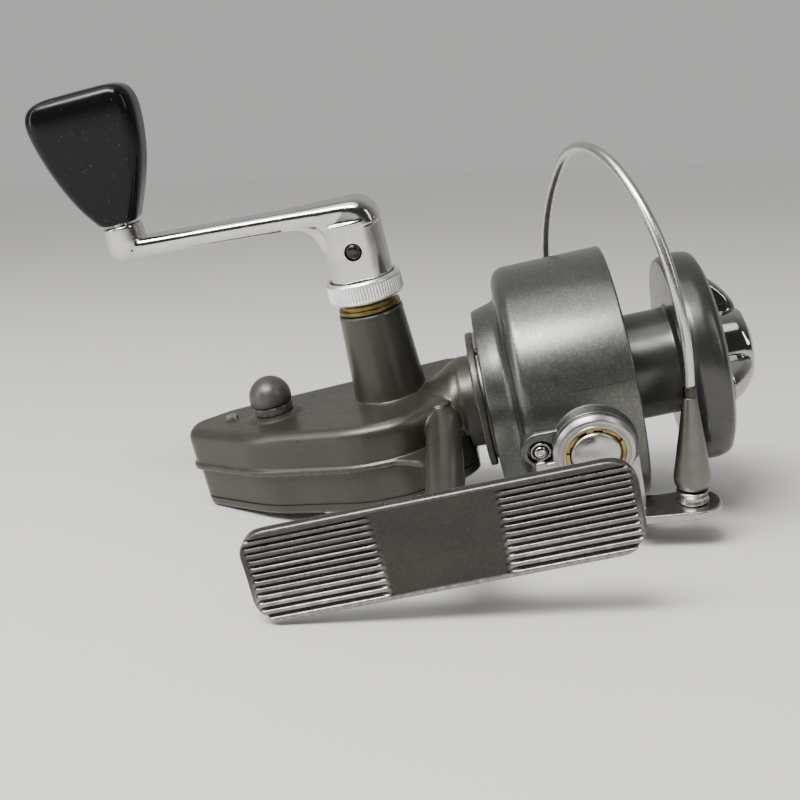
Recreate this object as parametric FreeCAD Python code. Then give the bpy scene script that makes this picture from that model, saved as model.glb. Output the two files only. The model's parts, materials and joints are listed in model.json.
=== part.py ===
import FreeCAD, Part
import math
import os

os.makedirs("parts", exist_ok=True)

V = FreeCAD.Vector

# Spinning reel, millimetres. Shapes are built about the spool axis: X forward
# along the spool, Z up along the handle shaft, origin at the rotor's front rim.
# The saved parts are shifted so the origin is the centre of the foot's seat.
seat_shift = V(38.3, 61.7, 0.0)

# driving sizes
handle_x = -47.6
handle_y = 3.6
cross_x = -65.2
top_z = 4.7
ceiling_z = 3.5
parting_z = -4.2
floor_z = -11.4
bottom_z = -13.8
wall = 1.9
neck_r = 14.0
neck_front = -28.5
hub_r = 9.5
disc_x = -30.0
tower_top = 23.0
main_shaft_r = 1.5
tube_r = 3.0
rotor_r = 25.7
rotor_wall = 1.8
flange_r = 21.2
arbor_r = 10.8
foot_length = 64.0
foot_width = 16.5
foot_face = -61.7
foot_x = -38.3
stem_x = -37.4
stem_r = 3.5
pin_z = 36.2
leg_r = 6.4
knob_x = -92.3
bail_x = -10.0
bail_tilt = 10.0
anchor_x = -9.8
anchor_y = 1.1
ratchet_x = -73.0
ratchet_y = 4.2
face_teeth = 35
pinion_teeth = 10
spur_teeth = 22
spur_pitch_r = 8.8

# corners of the gear case seen along the handle shaft: x, y, rounding radius
case_corners = [
    (-93.3, 5.1, 4.4), (-76.8, -7.6, 30.0), (-55.2, -15.9, 20.0), (-45.1, -15.9, 12.0),
    (-31.0, -5.6, 9.0), (-31.0, 19.5, 4.6), (-84.5, 15.1, 12.0), (-93.3, 11.0, 4.4),
]
cover_screw_spots = [(-86.3, 7.8), (-64.0, -9.3), (-37.6, -8.0), (-37.4, 14.6)]


# ---- small helpers -------------------------------------------------------

def cyl_x(x0, x1, r, y=0.0, z=0.0):
    return Part.makeCylinder(r, x1 - x0, V(x0, y, z), V(1, 0, 0))


def cyl_y(x, z, y0, y1, r):
    return Part.makeCylinder(r, y1 - y0, V(x, y0, z), V(0, 1, 0))


def cyl_z(x, y, z0, z1, r):
    return Part.makeCylinder(r, z1 - z0, V(x, y, z0))


def ring_z(x, y, z0, z1, r_out, r_in):
    return cyl_z(x, y, z0, z1, r_out).cut(cyl_z(x, y, z0 - 1, z1 + 1, r_in))


def box(x0, x1, y0, y1, z0, z1):
    return Part.makeBox(x1 - x0, y1 - y0, z1 - z0, V(x0, y0, z0))


def polygon(points, z):
    corners = [V(x, y, z) for x, y in points]
    return Part.Face(Part.makePolygon(corners + corners[:1]))


def prism(points, z0, z1):
    return polygon(points, z0).extrude(V(0, 0, z1 - z0))


def turned_x(profile):
    """Solid of revolution about the spool axis from (x, radius) corners."""
    corners = [V(x, r, 0) for x, r in profile]
    face = Part.Face(Part.makePolygon(corners + corners[:1]))
    return face.revolve(V(0, 0, 0), V(1, 0, 0), 360)


def turned_z(x, y, profile):
    """Solid of revolution about a vertical line from (radius, z) corners."""
    corners = [V(x + r, y, z) for r, z in profile]
    face = Part.Face(Part.makePolygon(corners + corners[:1]))
    return face.revolve(V(x, y, 0), V(0, 0, 1), 360)


def join(shapes):
    whole = shapes[0]
    for shape in shapes[1:]:
        whole = whole.fuse(shape)
    return whole.removeSplitter()


def cut_all(shape, tools):
    for tool in tools:
        shape = shape.cut(tool)
    return shape


def edges_near(shape, test):
    found = []
    for edge in shape.Edges:
        if test(edge.BoundBox):
            found.append(edge)
    return found


def soften(shape, radius, test):
    """Round the chosen edges, leaving the shape alone if none are chosen."""
    chosen = edges_near(shape, test)
    if not chosen:
        return shape
    return shape.makeFillet(radius, chosen)


def near_side(shape):
    """Turn a shape drawn on the bench (Z outward) onto the bail's near pivot."""
    shape = shape.copy()
    shape.rotate(V(0, 0, 0), V(1, 0, 0), 90 + bail_tilt)
    shape.translate(V(bail_x, 0, 0))
    return shape


def far_side(shape):
    """The same for the far pivot, where Z outward points the other way."""
    shape = shape.copy()
    shape.rotate(V(0, 0, 0), V(1, 0, 0), bail_tilt - 90)
    shape.translate(V(bail_x, 0, 0))
    return shape


def save(name, shapes):
    """Write one node; a list keeps its members as separate solids."""
    if not isinstance(shapes, list):
        shapes = [shapes]
    solids = []
    for shape in shapes:
        solids.extend(shape.Solids)
    moved = []
    for solid in solids:
        copy = solid.copy()
        copy.translate(seat_shift)
        moved.append(copy)
    whole = moved[0] if len(moved) == 1 else Part.makeCompound(moved)
    if not whole.isValid():
        print("NOT VALID:", name)
    whole.exportStep("parts/" + name + ".step")
    print(name, len(moved), round(sum(s.Volume for s in moved), 1))


def case_outline(inset, z):
    """The case outline with rounded corners, every side moved in by inset."""
    count = len(case_corners)
    sides = []
    for i in range(count):
        start = V(case_corners[i][0], case_corners[i][1], z)
        end = V(case_corners[(i + 1) % count][0], case_corners[(i + 1) % count][1], z)
        along = (end - start).normalize()
        inward = V(-along.y, along.x, 0)
        sides.append((start + inward * inset, along))
    arcs = []
    for i in range(count):
        p, a = sides[i - 1]
        q, b = sides[i]
        across = a.x * b.y - a.y * b.x
        gap = q - p
        corner = p + a * ((gap.x * b.y - gap.y * b.x) / across)
        radius = case_corners[i][2] - inset
        half_turn = math.acos(max(-1.0, min(1.0, a.dot(b)))) / 2.0
        reach = radius * math.tan(half_turn)
        to_centre = (b - a).normalize()
        middle = corner + to_centre * (radius / math.cos(half_turn) - radius)
        arcs.append((corner - a * reach, middle, corner + b * reach))
    edges = []
    for i in range(count):
        start, middle, end = arcs[i]
        edges.append(Part.Arc(start, middle, end).toShape())
        edges.append(Part.LineSegment(end, arcs[(i + 1) % count][0]).toShape())
    return Part.Face(Part.Wire(edges))


def case_slab(inset, z0, z1):
    return case_outline(inset, z0).extrude(V(0, 0, z1 - z0))


def countersunk_screw(x, y, z_head, z_tip, r_head, r_body):
    """Slotted screw with its head at the low end, pointing up."""
    head = turned_z(x, y, [(0, z_head), (r_head, z_head), (r_head, z_head + 0.5),
                           (r_body, z_head + 1.4), (r_body, z_tip), (0, z_tip)])
    slot = box(x - r_head, x + r_head, y - 0.25, y + 0.25, z_head - 0.1, z_head + 0.6)
    return head.cut(slot)


def spur_outline(teeth, pitch_r, addendum, dedendum, tip, root, phase):
    """Straight-flanked spur wheel outline, centred on the origin."""
    points = []
    for i in range(teeth):
        angle = 2 * math.pi * (i + phase) / teeth
        for r, width in ((pitch_r - dedendum, -root), (pitch_r + addendum, -tip),
                         (pitch_r + addendum, tip), (pitch_r - dedendum, root)):
            turn = angle + width / 2.0 / r
            points.append((r * math.cos(turn), r * math.sin(turn)))
    return points


# ---- gear case -----------------------------------------------------------

def neck_hump():
    """Low mound on the case's top, the bearing hub and the thin disc in front of it."""
    profile = [(-43.0, 0), (-43.0, 4.0), (-38.0, 6.2), (-34.5, 8.6), (-33.0, hub_r),
               (disc_x, hub_r), (disc_x, neck_r), (neck_front, neck_r), (neck_front, 0)]
    hump = turned_x(profile)
    upper = box(-50, -33.0, -20, 20, parting_z, 20)
    ahead = box(-33.0, -20, -20, 20, -20, 20)
    return hump.common(upper.fuse(ahead))


def foot():
    """Seat plate with its shallow trough and the lengthwise grip ribs."""
    half = foot_width / 2.0
    x0 = foot_x - foot_length / 2.0
    x1 = foot_x + foot_length / 2.0
    plate = box(x0, x1, foot_face, foot_face + 4.6, -half, half)
    plate = soften(plate, 5.0, lambda b: b.YLength > 4 and b.XLength < 0.1 and b.ZLength < 0.1)
    slope = [(x0 - 1, foot_face + 2.0), (x0, foot_face + 2.2), (x0 + 22, foot_face + 4.0),
             (x1 - 22, foot_face + 4.0), (x1, foot_face + 2.2), (x1 + 1, foot_face + 2.0),
             (x1 + 1, foot_face + 6), (x0 - 1, foot_face + 6)]
    corners = [V(x, y, -half - 1) for x, y in slope]
    back = Part.Face(Part.makePolygon(corners + corners[:1])).extrude(V(0, 0, foot_width + 2))
    plate = plate.cut(back)
    trough_depth = 1.1
    chord = half - 0.7
    trough_r = (chord * chord + trough_depth * trough_depth) / (2 * trough_depth)
    trough = cyl_x(x0 - 1, x1 + 1, trough_r, foot_face + trough_depth - trough_r, 0)
    plate = plate.cut(trough)
    for i in range(12):
        z = (i - 5.5) * 1.25
        floor = foot_face + trough_depth - (z * z) / (2 * trough_r)
        for g0, g1 in ((x0 + 1.0, x0 + 22.5), (x1 - 22.5, x1 - 1.0)):
            groove = box(g0, g1, foot_face - 1, floor + 0.5, z - 0.33, z + 0.33)
            plate = plate.cut(groove)
    return plate


def stem():
    """Round leg from the case wall to the foot, flared where it meets the foot."""
    y0 = foot_face + 3.2
    y1 = -8.5
    leg = cyl_y(stem_x, 0, y0, y1, stem_r)
    low = Part.makeCone(6.2, stem_r, 4.0, V(stem_x, y0 - 0.4, 0), V(0, 1, 0))
    web = prism([(-54.0, -14.5), (-42.0, -23.5), (-36.0, -22.0), (-33.0, -8.0)],
                parting_z, parting_z + 1.3)
    return join([leg, low, web])


def main_housing():
    body = case_slab(0.0, parting_z, top_z)
    body = soften(body, 2.4, lambda b: b.ZMin > top_z - 0.01)
    band = case_slab(-0.6, parting_z, parting_z + 1.3)
    tower = Part.makeCone(7.7, 6.6, tower_top - 3.0, V(handle_x, handle_y, 3.0))
    boss = cyl_z(ratchet_x, ratchet_y, top_z - 0.5, top_z + 0.7, 5.5)
    body = join([body, band, neck_hump(), tower, boss, stem(), foot()])
    cavity = case_slab(wall, parting_z - 1, ceiling_z)
    cavity = cavity.common(box(-100, -34.6, -30, 30, -10, 10))
    body = body.cut(cavity)
    pads = []
    for x, y in cover_screw_spots:
        pads.append(cyl_z(x, y, parting_z, ceiling_z + 0.2, 2.3))
    pads.append(box(-77.2, -72.2, -3.6, 3.6, -2.9, ceiling_z + 0.2))
    for x in (-77.0, -58.1):
        pads.append(box(x, x + 1.6, 8.1, 11.4, -1.6, ceiling_z + 0.2))
    inside = case_slab(0.5, parting_z, ceiling_z + 0.3)
    body = join([body] + [pad.common(inside) for pad in pads])
    holes = [
        cyl_z(handle_x, handle_y, 0.0, 30, 4.2),
        cyl_x(-33.05, -20, 8.02),
        cyl_x(-60, -30, 5.0).common(box(-36, -30, -9, 9, -9, 9)),
        cyl_x(-82.6, -70, 2.3),
        cyl_x(-77.5, -56.0, 1.0, 9.7, 0.0),
        cyl_z(ratchet_x, ratchet_y, 0, 10, 1.9),
        cyl_z(ratchet_x, ratchet_y, 1.8, ceiling_z, 4.0),
    ]
    for x, y in cover_screw_spots:
        holes.append(cyl_z(x, y, parting_z - 1, 1.6, 0.9))
    for angle in (90, 210, 330):
        y = 10.6 * math.cos(math.radians(angle))
        z = 10.6 * math.sin(math.radians(angle))
        holes.append(cyl_x(-30.5, -28.0, 0.75, y, z))
    body = cut_all(body, holes)
    return body


def side_cover():
    cover = case_slab(0.5, bottom_z, parting_z - 0.1)
    cover = soften(cover, 2.6, lambda b: b.ZMax < bottom_z + 0.01)
    cover = cover.common(box(-100, -32.3, -30, 30, -20, 0))
    inner = case_slab(wall + 0.3, floor_z, 0).common(box(-100, -35.0, -30, 30, -20, 0))
    cover = cover.cut(inner)
    inside = case_slab(1.0, bottom_z + 0.5, parting_z - 0.1)
    parts = [cover]
    for x, y in cover_screw_spots:
        parts.append(cyl_z(x, y, floor_z - 0.5, parting_z - 0.1, 2.3).common(inside))
    parts.append(cyl_z(handle_x, handle_y, floor_z - 0.5, -7.9, 5.0))
    parts.append(cyl_z(cross_x, handle_y, floor_z - 0.5, -7.9, 3.4))
    cover = join(parts)
    holes = [cyl_z(handle_x, handle_y, floor_z - 0.6, -7, 3.0),
             cyl_z(cross_x, handle_y, floor_z - 0.6, -7, 1.8),
             cyl_x(-36, -31, tube_r + 0.5),
             cyl_x(-33.3, -31, hub_r + 0.3)]
    for x, y in cover_screw_spots:
        holes.append(cyl_z(x, y, bottom_z - 1, 0, 1.1))
        holes.append(turned_z(x, y, [(0, bottom_z - 1), (2.1, bottom_z - 1), (2.1, bottom_z + 0.75),
                                     (1.1, bottom_z + 1.75), (0, bottom_z + 1.75)]))
    crease_outer = case_slab(-1.0, -11.3, -11.0)
    crease = crease_outer.cut(case_slab(0.75, -12, -10))
    return cut_all(cover, holes + [crease])


def cover_screws():
    screws = []
    for x, y in cover_screw_spots:
        screws.append(countersunk_screw(x, y, bottom_z + 0.2, 1.2, 1.9, 0.85))
    return screws


def tower_washer():
    """Flanged spacer between the tower and the shaft's head."""
    low = ring_z(handle_x, handle_y, tower_top + 0.2, 24.1, 6.4, 3.1)
    return low.fuse(ring_z(handle_x, handle_y, 24.0, 24.9, 5.7, 3.1))


def ball_bearing():
    outer = turned_x([(-33.0, 6.6), (-33.0, 8.0), (-29.0, 8.0), (-29.0, 6.6)])
    groove = Part.makeTorus(5.5, 1.2, V(-31.0, 0, 0), V(1, 0, 0))
    inner = turned_x([(-33.0, tube_r), (-33.0, 4.4), (-29.0, 4.4), (-29.0, tube_r)])
    balls = []
    for i in range(7):
        turn = 2 * math.pi * i / 7
        balls.append(Part.makeSphere(1.15, V(-31.0, 5.5 * math.cos(turn), 5.5 * math.sin(turn))))
    return outer.cut(groove), inner.cut(groove), balls


def bearing_plate():
    plate = turned_x([(neck_front, 6.4), (neck_front, 12.6), (-27.6, 12.6), (-27.6, 6.4)])
    back = turned_x([(-28.95, 6.9), (-28.95, 7.9), (neck_front, 7.9), (neck_front, 6.9)])
    plate = plate.fuse(back)
    screws = []
    for angle in (90, 210, 330):
        y = 10.6 * math.cos(math.radians(angle))
        z = 10.6 * math.sin(math.radians(angle))
        plate = plate.cut(cyl_x(-29, -27, 0.85, y, z))
        screw = cyl_x(-29.8, -27.6, 0.7, y, z).fuse(cyl_x(-27.6, -26.9, 1.5, y, z))
        screws.append(screw.cut(box(-27.2, -26.5, y - 0.2, y + 0.2, z - 2, z + 2)))
    return plate, screws


def trip_ramp():
    """Fixed wedge the bail's trip pin rides over, one sixth of a turn long."""
    ring = turned_x([(neck_front, 13.0), (neck_front, 13.9), (-27.3, 13.9), (-27.3, 13.0)])
    return ring.common(box(-30, -26, -5.5, 5.5, 5, 20))


# ---- drive train ---------------------------------------------------------

def face_gear():
    """Crown wheel: blank, hub, under-gear and one bar per tooth."""
    blank = ring_z(handle_x, handle_y, -4.6, -3.45, 11.7, 2.0)
    hub = ring_z(handle_x, handle_y, -5.4, -4.5, 5.0, 2.0)
    bar = Part.Face(Part.makePolygon([V(8.6, -0.42, -3.6), V(8.6, 0.42, -3.6), V(8.6, 0.2, -2.45),
                                      V(8.6, -0.2, -2.45), V(8.6, -0.42, -3.6)]))
    bar = bar.extrude(V(2.5, 0, 0))
    bar.translate(V(0, -handle_y, 0))
    teeth = []
    for i in range(face_teeth):
        tooth = bar.copy()
        tooth.rotate(V(0, 0, 0), V(0, 0, 1), 360.0 * (i + 0.5) / face_teeth)
        tooth.translate(V(handle_x, handle_y, 0))
        teeth.append(tooth)
    outline = spur_outline(spur_teeth, spur_pitch_r, 0.65, 0.85, 0.45, 1.3, 0.0)
    under = prism(outline, -7.6, -5.4)
    under.translate(V(handle_x, handle_y, 0))
    under = under.cut(cyl_z(handle_x, handle_y, -9, 0, 2.0))
    return join([blank, hub, under]).multiFuse(teeth).removeSplitter()


def drive_shaft():
    """Handle shaft: foot journal, waist past the spool shaft, tower, tongue."""
    journal = cyl_z(handle_x, handle_y, -10.0, -7.7, 1.9)
    core = cyl_z(handle_x, handle_y, -10.0, 2.0, 1.9)
    column = cyl_z(handle_x, handle_y, 1.9, 25.3, 3.0)
    head = cyl_z(handle_x, handle_y, 25.2, 26.9, 4.2)
    tongue = box(handle_x - 3.1, handle_x + 3.1, handle_y - 2.1, handle_y + 2.1, 26.8, pin_z)
    top = cyl_y(handle_x, pin_z, handle_y - 2.1, handle_y + 2.1, 3.1)
    shaft = join([journal, core, column, head, tongue, top])
    return shaft.cut(cyl_y(handle_x, pin_z, -5, 12, 1.55))


def ratchet_wheel():
    points = []
    for i in range(12):
        start = 2 * math.pi * i / 12
        points.append((6.0 * math.cos(start), 6.0 * math.sin(start)))
        turn = start + 2 * math.pi * 0.92 / 12
        points.append((4.9 * math.cos(turn), 4.9 * math.sin(turn)))
    wheel = prism(points, 2.1, 3.2)
    wheel.translate(V(handle_x, handle_y, 0))
    return wheel.cut(cyl_z(handle_x, handle_y, 0, 10, 3.0))


def lock_ring():
    """Knurled ring: threaded floor, open mouth that takes the crank's end."""
    profile = [(4.25, 25.6), (7.3, 25.6), (7.75, 26.0), (7.75, 29.7), (7.4, 30.2),
               (7.1, 30.2), (6.75, 29.7), (6.75, 27.0), (4.25, 27.0)]
    ring = turned_z(handle_x, handle_y, profile)
    grooves = []
    for i in range(60):
        turn = 2 * math.pi * i / 60
        x = handle_x + 7.82 * math.cos(turn)
        y = handle_y + 7.82 * math.sin(turn)
        grooves.append(cyl_z(x, y, 26.2, 29.5, 0.22))
    return ring.cut(Part.makeCompound(grooves))


def section(x, y, z, half_a, half_b, corner, x_dir, y_dir):
    """Closed rounded rectangle centred at a point, spanned by two directions."""
    points = []
    for sa, sb in ((1, -1), (1, 1), (-1, 1), (-1, -1)):
        ca = sa * (half_a - corner)
        cb = sb * (half_b - corner)
        for step in range(3):
            base = {(1, -1): -90, (1, 1): 0, (-1, 1): 90, (-1, -1): 180}[(sa, sb)]
            turn = math.radians(base + 45 * step)
            a = ca + corner * math.cos(turn)
            b = cb + corner * math.sin(turn)
            points.append(V(x, y, z) + x_dir * a + y_dir * b)
    edges = []
    for i in range(0, 12, 3):
        edges.append(Part.Arc(points[i], points[i + 1], points[i + 2]).toShape())
        edges.append(Part.LineSegment(points[i + 2], points[(i + 3) % 12]).toShape())
    return Part.Wire(edges)


def crank_arm():
    """Forked leg, elbow, tapering arm and the upturned socket for the knob."""
    along = V(-1, 0, 0)
    up = V(0, 0, 1)
    side = V(0, 1, 0)
    leg = cyl_z(handle_x, handle_y, 30.0, 41.0, leg_r)
    flats = box(handle_x - 8, handle_x + 8, handle_y - 5.7, handle_y + 5.7, 29, 50)
    leg = leg.common(flats)
    elbow = box(handle_x - leg_r, handle_x + leg_r - 0.1, handle_y - 5.2, handle_y + 5.2, 40.0, 46.2)
    elbow = soften(elbow, 4.6, lambda b: b.XMin > handle_x + 6 and b.ZMin > 46.0)
    elbow = soften(elbow, 2.4, lambda b: b.XMax > handle_x + 6 and b.ZLength > 1 and b.YLength < 0.1)
    stations = [(-53.0, 44.0, 5.0, 2.3), (-58.0, 44.3, 3.9, 1.95), (-70.0, 44.9, 3.5, 1.85),
                (-88.0, 45.8, 3.4, 1.8), (-92.3, 46.1, 3.6, 2.0)]
    wires = []
    for x, z, half_y, half_z in stations:
        wires.append(section(x, handle_y, z, half_y, half_z, half_z * 0.75, side, up))
    arm = Part.makeLoft(wires, True, False)
    socket = turned_z(knob_x, handle_y, [(0, 44.2), (3.0, 44.2), (3.9, 45.0), (4.1, 47.0),
                                         (4.0, 51.0), (0, 51.0)])
    spindle = cyl_z(knob_x, handle_y, 50.8, 70.0, 1.9)
    gusset = Part.Face(Part.makePolygon([V(-53.5, -0.6, 42.6), V(-57.4, -0.6, 42.6),
                                         V(-55.2, -0.6, 41.7), V(-54.2, -0.6, 40.4),
                                         V(-53.8, -0.6, 38.6), V(-53.5, -0.6, 42.6)]))
    gusset = gusset.extrude(V(0, 8.4, 0))
    crank = join([leg, elbow, arm, gusset, socket, spindle])
    slot = box(handle_x - 9, handle_x + 3.5, handle_y - 2.4, handle_y + 2.4, 29, 39.7)
    slot = slot.cut(box(handle_x - 9, handle_x - 3.6, handle_y - 3, handle_y + 3, 38.2, 40))
    crank = crank.cut(slot)
    return crank.cut(cyl_y(handle_x, pin_z, -6, 14, 1.75))


def crank_pin():
    y0 = handle_y - 5.9
    y1 = handle_y + 5.9
    pin = cyl_y(handle_x, pin_z, y0, y1, 1.5)
    pin = soften(pin, 0.6, lambda b: b.YLength < 0.01)
    return pin


def handle_knob():
    """Paddle grip: narrow base, widest near the top, softened top."""
    stations = [(51.3, -96.2, -88.3, 3.9, 0.0), (57.5, -99.9, -85.6, 4.4, 0.0),
                (64.5, -102.5, -83.0, 4.8, 0.0), (71.5, -104.1, -82.1, 4.9, 0.5),
                (75.4, -104.0, -82.5, 4.5, 1.0), (77.5, -101.2, -84.9, 3.2, 1.0)]
    wires = []
    for z, left, right, half_y, tilt in stations:
        lean = math.radians(tilt)
        across = V(math.cos(lean), 0, math.sin(lean))
        middle = (left + right) / 2.0
        wires.append(section(middle, handle_y, z, (right - left) / 2.0, half_y, half_y * 0.7,
                             across, V(0, 1, 0)))
    knob = Part.makeLoft(wires, True, False)
    return knob.cut(cyl_z(knob_x, handle_y, 50, 71.0, 2.0))


# ---- oscillation and anti-reverse ---------------------------------------

def oscillation_gear():
    outline = spur_outline(spur_teeth, spur_pitch_r, 0.65, 0.85, 0.45, 1.3, 0.5)
    gear = prism(outline, -7.6, -5.4)
    gear = gear.fuse(cyl_z(4.0, 0, -5.5, -4.8, 1.2))
    gear.translate(V(cross_x, handle_y, 0))
    return gear.cut(cyl_z(cross_x, handle_y, -9, -3, 1.9))


def crosswind_block():
    block = box(cross_x - 1.4, cross_x + 1.4, -2.6, 11.5, -1.9, 1.8)
    fork_a = box(cross_x - 1.4, cross_x + 1.4, -2.6, 11.5, -4.4, -1.8)
    slot = box(cross_x - 1.25, cross_x + 1.25, -1.4, 8.6, -5, -2.9)
    block = join([block, fork_a.cut(slot)])
    block = block.cut(cyl_x(-80, -50, main_shaft_r))
    return block.cut(cyl_x(-80, -50, 1.08, 9.7, 0.0))


def pawl():
    arm = prism([(-54.6, 9.0), (-53.2, 7.7), (-58.0, 5.4), (-62.5, 4.6), (-68.6, 6.0),
                 (-68.6, 7.4), (-62.5, 7.8), (-58.0, 7.4), (-56.0, 7.8)], 2.15, 3.15)
    return arm.cut(cyl_z(-62.5, 6.2, 0, 5, 0.95))


def ratchet_knob():
    """Domed anti-reverse button with its spindle and the small cam below."""
    spindle = cyl_z(ratchet_x, ratchet_y, 2.1, 6.0, 1.8)
    neck = cyl_z(ratchet_x, ratchet_y, top_z + 0.8, 7.4, 4.2)
    dome = Part.makeSphere(4.5, V(ratchet_x, ratchet_y, 8.7))
    dome = dome.cut(box(-90, -60, -10, 20, 0, 7.6))
    waist = cyl_z(ratchet_x, ratchet_y, 7.3, 7.7, 3.4)
    cam = cyl_z(ratchet_x + 0.9, ratchet_y, 2.1, 3.2, 2.2)
    return join([spindle, neck, waist, dome, cam])


# ---- rotor ---------------------------------------------------------------

def rotor_cup():
    rear = -22.5
    profile = [(0.0, rotor_r - rotor_wall), (0.0, rotor_r - 0.3), (-0.3, rotor_r), (-20.2, rotor_r),
               (-21.4, rotor_r - 0.5), (-22.2, rotor_r - 1.4), (rear, rotor_r - 2.6),
               (-23.0, 19.6), (-24.0, 18.7), (-25.3, 18.5), (-25.5, 17.4), (-26.0, 17.4),
               (-26.2, 18.0), (-27.8, 18.0), (-28.0, 17.7), (-28.0, 15.6), (-24.4, 15.6),
               (-24.4, 8.0), (-26.4, 4.6), (-28.9, 4.2), (-28.9, tube_r), (-19.0, tube_r),
               (-19.0, 7.0), (-20.6, 8.0), (-20.8, 22.6), (-19.6, rotor_r - rotor_wall)]
    cup = turned_x(profile)
    near_boss = near_side(cyl_z(0, 0, 23.0, 26.9, 8.0))
    lobe = cyl_z(anchor_x, 1.6, 23.6, 26.2, 3.6).fuse(box(anchor_x, 0, -2.0, 5.2, 23.6, 26.2))
    lobe = near_side(lobe)
    far_boss = far_side(cyl_z(0, 0, 23.0, 26.9, 5.2))
    hollow = cyl_x(-19.4, 1.0, rotor_r - rotor_wall)
    cup = join([cup, near_boss.cut(hollow), lobe.cut(hollow), far_boss.cut(hollow)])
    tools = [
        near_side(cyl_z(0, 0, 20, 30, 1.7)),
        near_side(ring_z(0, 0, 25.9, 28, 7.1, 5.3)),
        near_side(cyl_z(anchor_x, anchor_y, 24.9, 26.3, 2.6)),
        near_side(cyl_z(anchor_x, anchor_y, 24.2, 28, 0.8)),
        far_side(cyl_z(0, 0, 20, 30, 1.7)),
        cyl_x(-26, -18, 1.1, 0.0, 13.4),
        turned_x([(-24.6, 15.6), (-24.6, 8.5), (-24.3, 8.5), (-24.3, 15.6)]),
    ]
    return cut_all(cup, tools)


def pinion():
    outline = spur_outline(pinion_teeth, 2.7, 0.5, 0.55, 0.36, 0.8, 0.0)
    teeth = prism(outline, 0, 2.8)
    teeth.rotate(V(0, 0, 0), V(0, 1, 0), 90)
    teeth.translate(V(handle_x + 8.45, 0, 0))
    tube = cyl_x(-35.4, -15.6, tube_r)
    waist = cyl_x(-36.6, -35.3, 2.15)
    tail = cyl_x(-40.6, -39.0, 2.1)
    whole = join([teeth, waist, tube, tail])
    return whole.cut(cyl_x(-45, -10, main_shaft_r + 0.08))


def rotor_nut():
    points = []
    for i in range(6):
        turn = math.pi / 3 * i
        points.append((5.2 * math.cos(turn), 5.2 * math.sin(turn)))
    nut = prism(points, 0, 2.4)
    nut.rotate(V(0, 0, 0), V(0, 1, 0), 90)
    nut.translate(V(-19.0, 0, 0))
    return nut.cut(cyl_x(-20, -10, tube_r))


def bail_spring():
    """Torsion spring lying in the groove under the bail arm's ring."""
    loop = Part.makeTorus(6.2, 0.4, V(0, 0, 26.35), V(0, 0, 1))
    loop = loop.cut(box(-8, 0, -1.4, 0.2, 25, 28))
    return near_side(loop)


def pivot_screws():
    near = turned_z(0, 0, [(0, 24.1), (1.6, 24.1), (1.6, 26.9), (4.7, 27.6), (4.7, 28.9),
                           (4.2, 29.5), (2.4, 29.9), (0, 30.0)])
    far = turned_z(0, 0, [(0, 24.1), (1.6, 24.1), (1.6, 26.9), (2.0, 27.0), (2.0, 28.5),
                          (3.2, 28.5), (3.2, 29.3), (2.4, 29.8), (0, 30.0)])
    far = far.cut(box(-5, 5, -0.35, 0.35, 29.3, 31))
    anchor = turned_z(anchor_x, anchor_y, [(0, 24.3), (0.75, 24.3), (0.75, 25.3), (1.7, 25.3),
                                           (1.7, 26.2), (1.2, 26.6), (0, 26.7)])
    return near_side(near), far_side(far), near_side(anchor)


# ---- bail ----------------------------------------------------------------

cone_foot = V(6.7, -24.6, -17.2)
cone_tip = V(8.9, -25.3, 3.5)


def bail_bush():
    bush = ring_z(0, 0, 27.1, 28.75, 5.55, 4.85)
    for turn in (30, 78, 112, 158, 250):
        notch = box(3, 8, -0.9, 0.9, 28.2, 29)
        notch.rotate(V(0, 0, 0), V(0, 0, 1), turn)
        bush = bush.cut(notch)
    return near_side(bush)


def bail_arm():
    """Ring round the pivot, leg going down and the tab that carries the roller."""
    ring = turned_z(0, 0, [(5.6, 27.1), (7.9, 27.1), (7.9, 28.3), (7.4, 28.8), (5.6, 28.8)])
    leg = prism([(-6.8, -2.5), (-4.6, -13.0), (-1.5, -15.6), (7.6, -15.6), (8.0, -12.0),
                 (7.8, -2.0), (5.0, -4.5), (0.0, -6.5), (-4.5, -4.6)], 27.1, 28.6)
    tail = cyl_z(-10.2, -0.9, 27.1, 28.3, 1.15).fuse(box(-10.2, -7.0, -1.5, -0.3, 27.1, 28.3))
    upright = near_side(join([ring, leg.cut(cyl_z(0, 0, 20, 40, 5.6)), tail]))
    axis = (cone_tip - cone_foot).normalize()
    top = cone_foot - axis * 2.7
    tab_points = [V(-12.0, -4.6, 0), V(0.6, -5.0, 0), V(5.3, 0.0, 0), V(0.6, 4.9, 0),
                  V(-6.0, 4.2, 0), V(-12.0, 4.6, 0)]
    edges = [Part.LineSegment(tab_points[0], tab_points[1]).toShape()]
    edges.append(Part.Arc(tab_points[1], tab_points[2], tab_points[3]).toShape())
    edges.append(Part.LineSegment(tab_points[3], tab_points[4]).toShape())
    edges.append(Part.LineSegment(tab_points[4], tab_points[5]).toShape())
    edges.append(Part.LineSegment(tab_points[5], tab_points[0]).toShape())
    tab = Part.Face(Part.Wire(edges)).extrude(V(0, 0, -1.6))
    tab = soften(tab, 0.5, lambda b: abs(b.ZLength) < 0.01 and b.ZMax > -0.01 and b.XMax > 0)
    tab.Placement = FreeCAD.Placement(top, FreeCAD.Rotation(V(0, 0, 1), axis))
    arm = join([upright, tab])
    return arm.cut(Part.makeCylinder(1.3, 8, top - axis * 5, axis))


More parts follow.
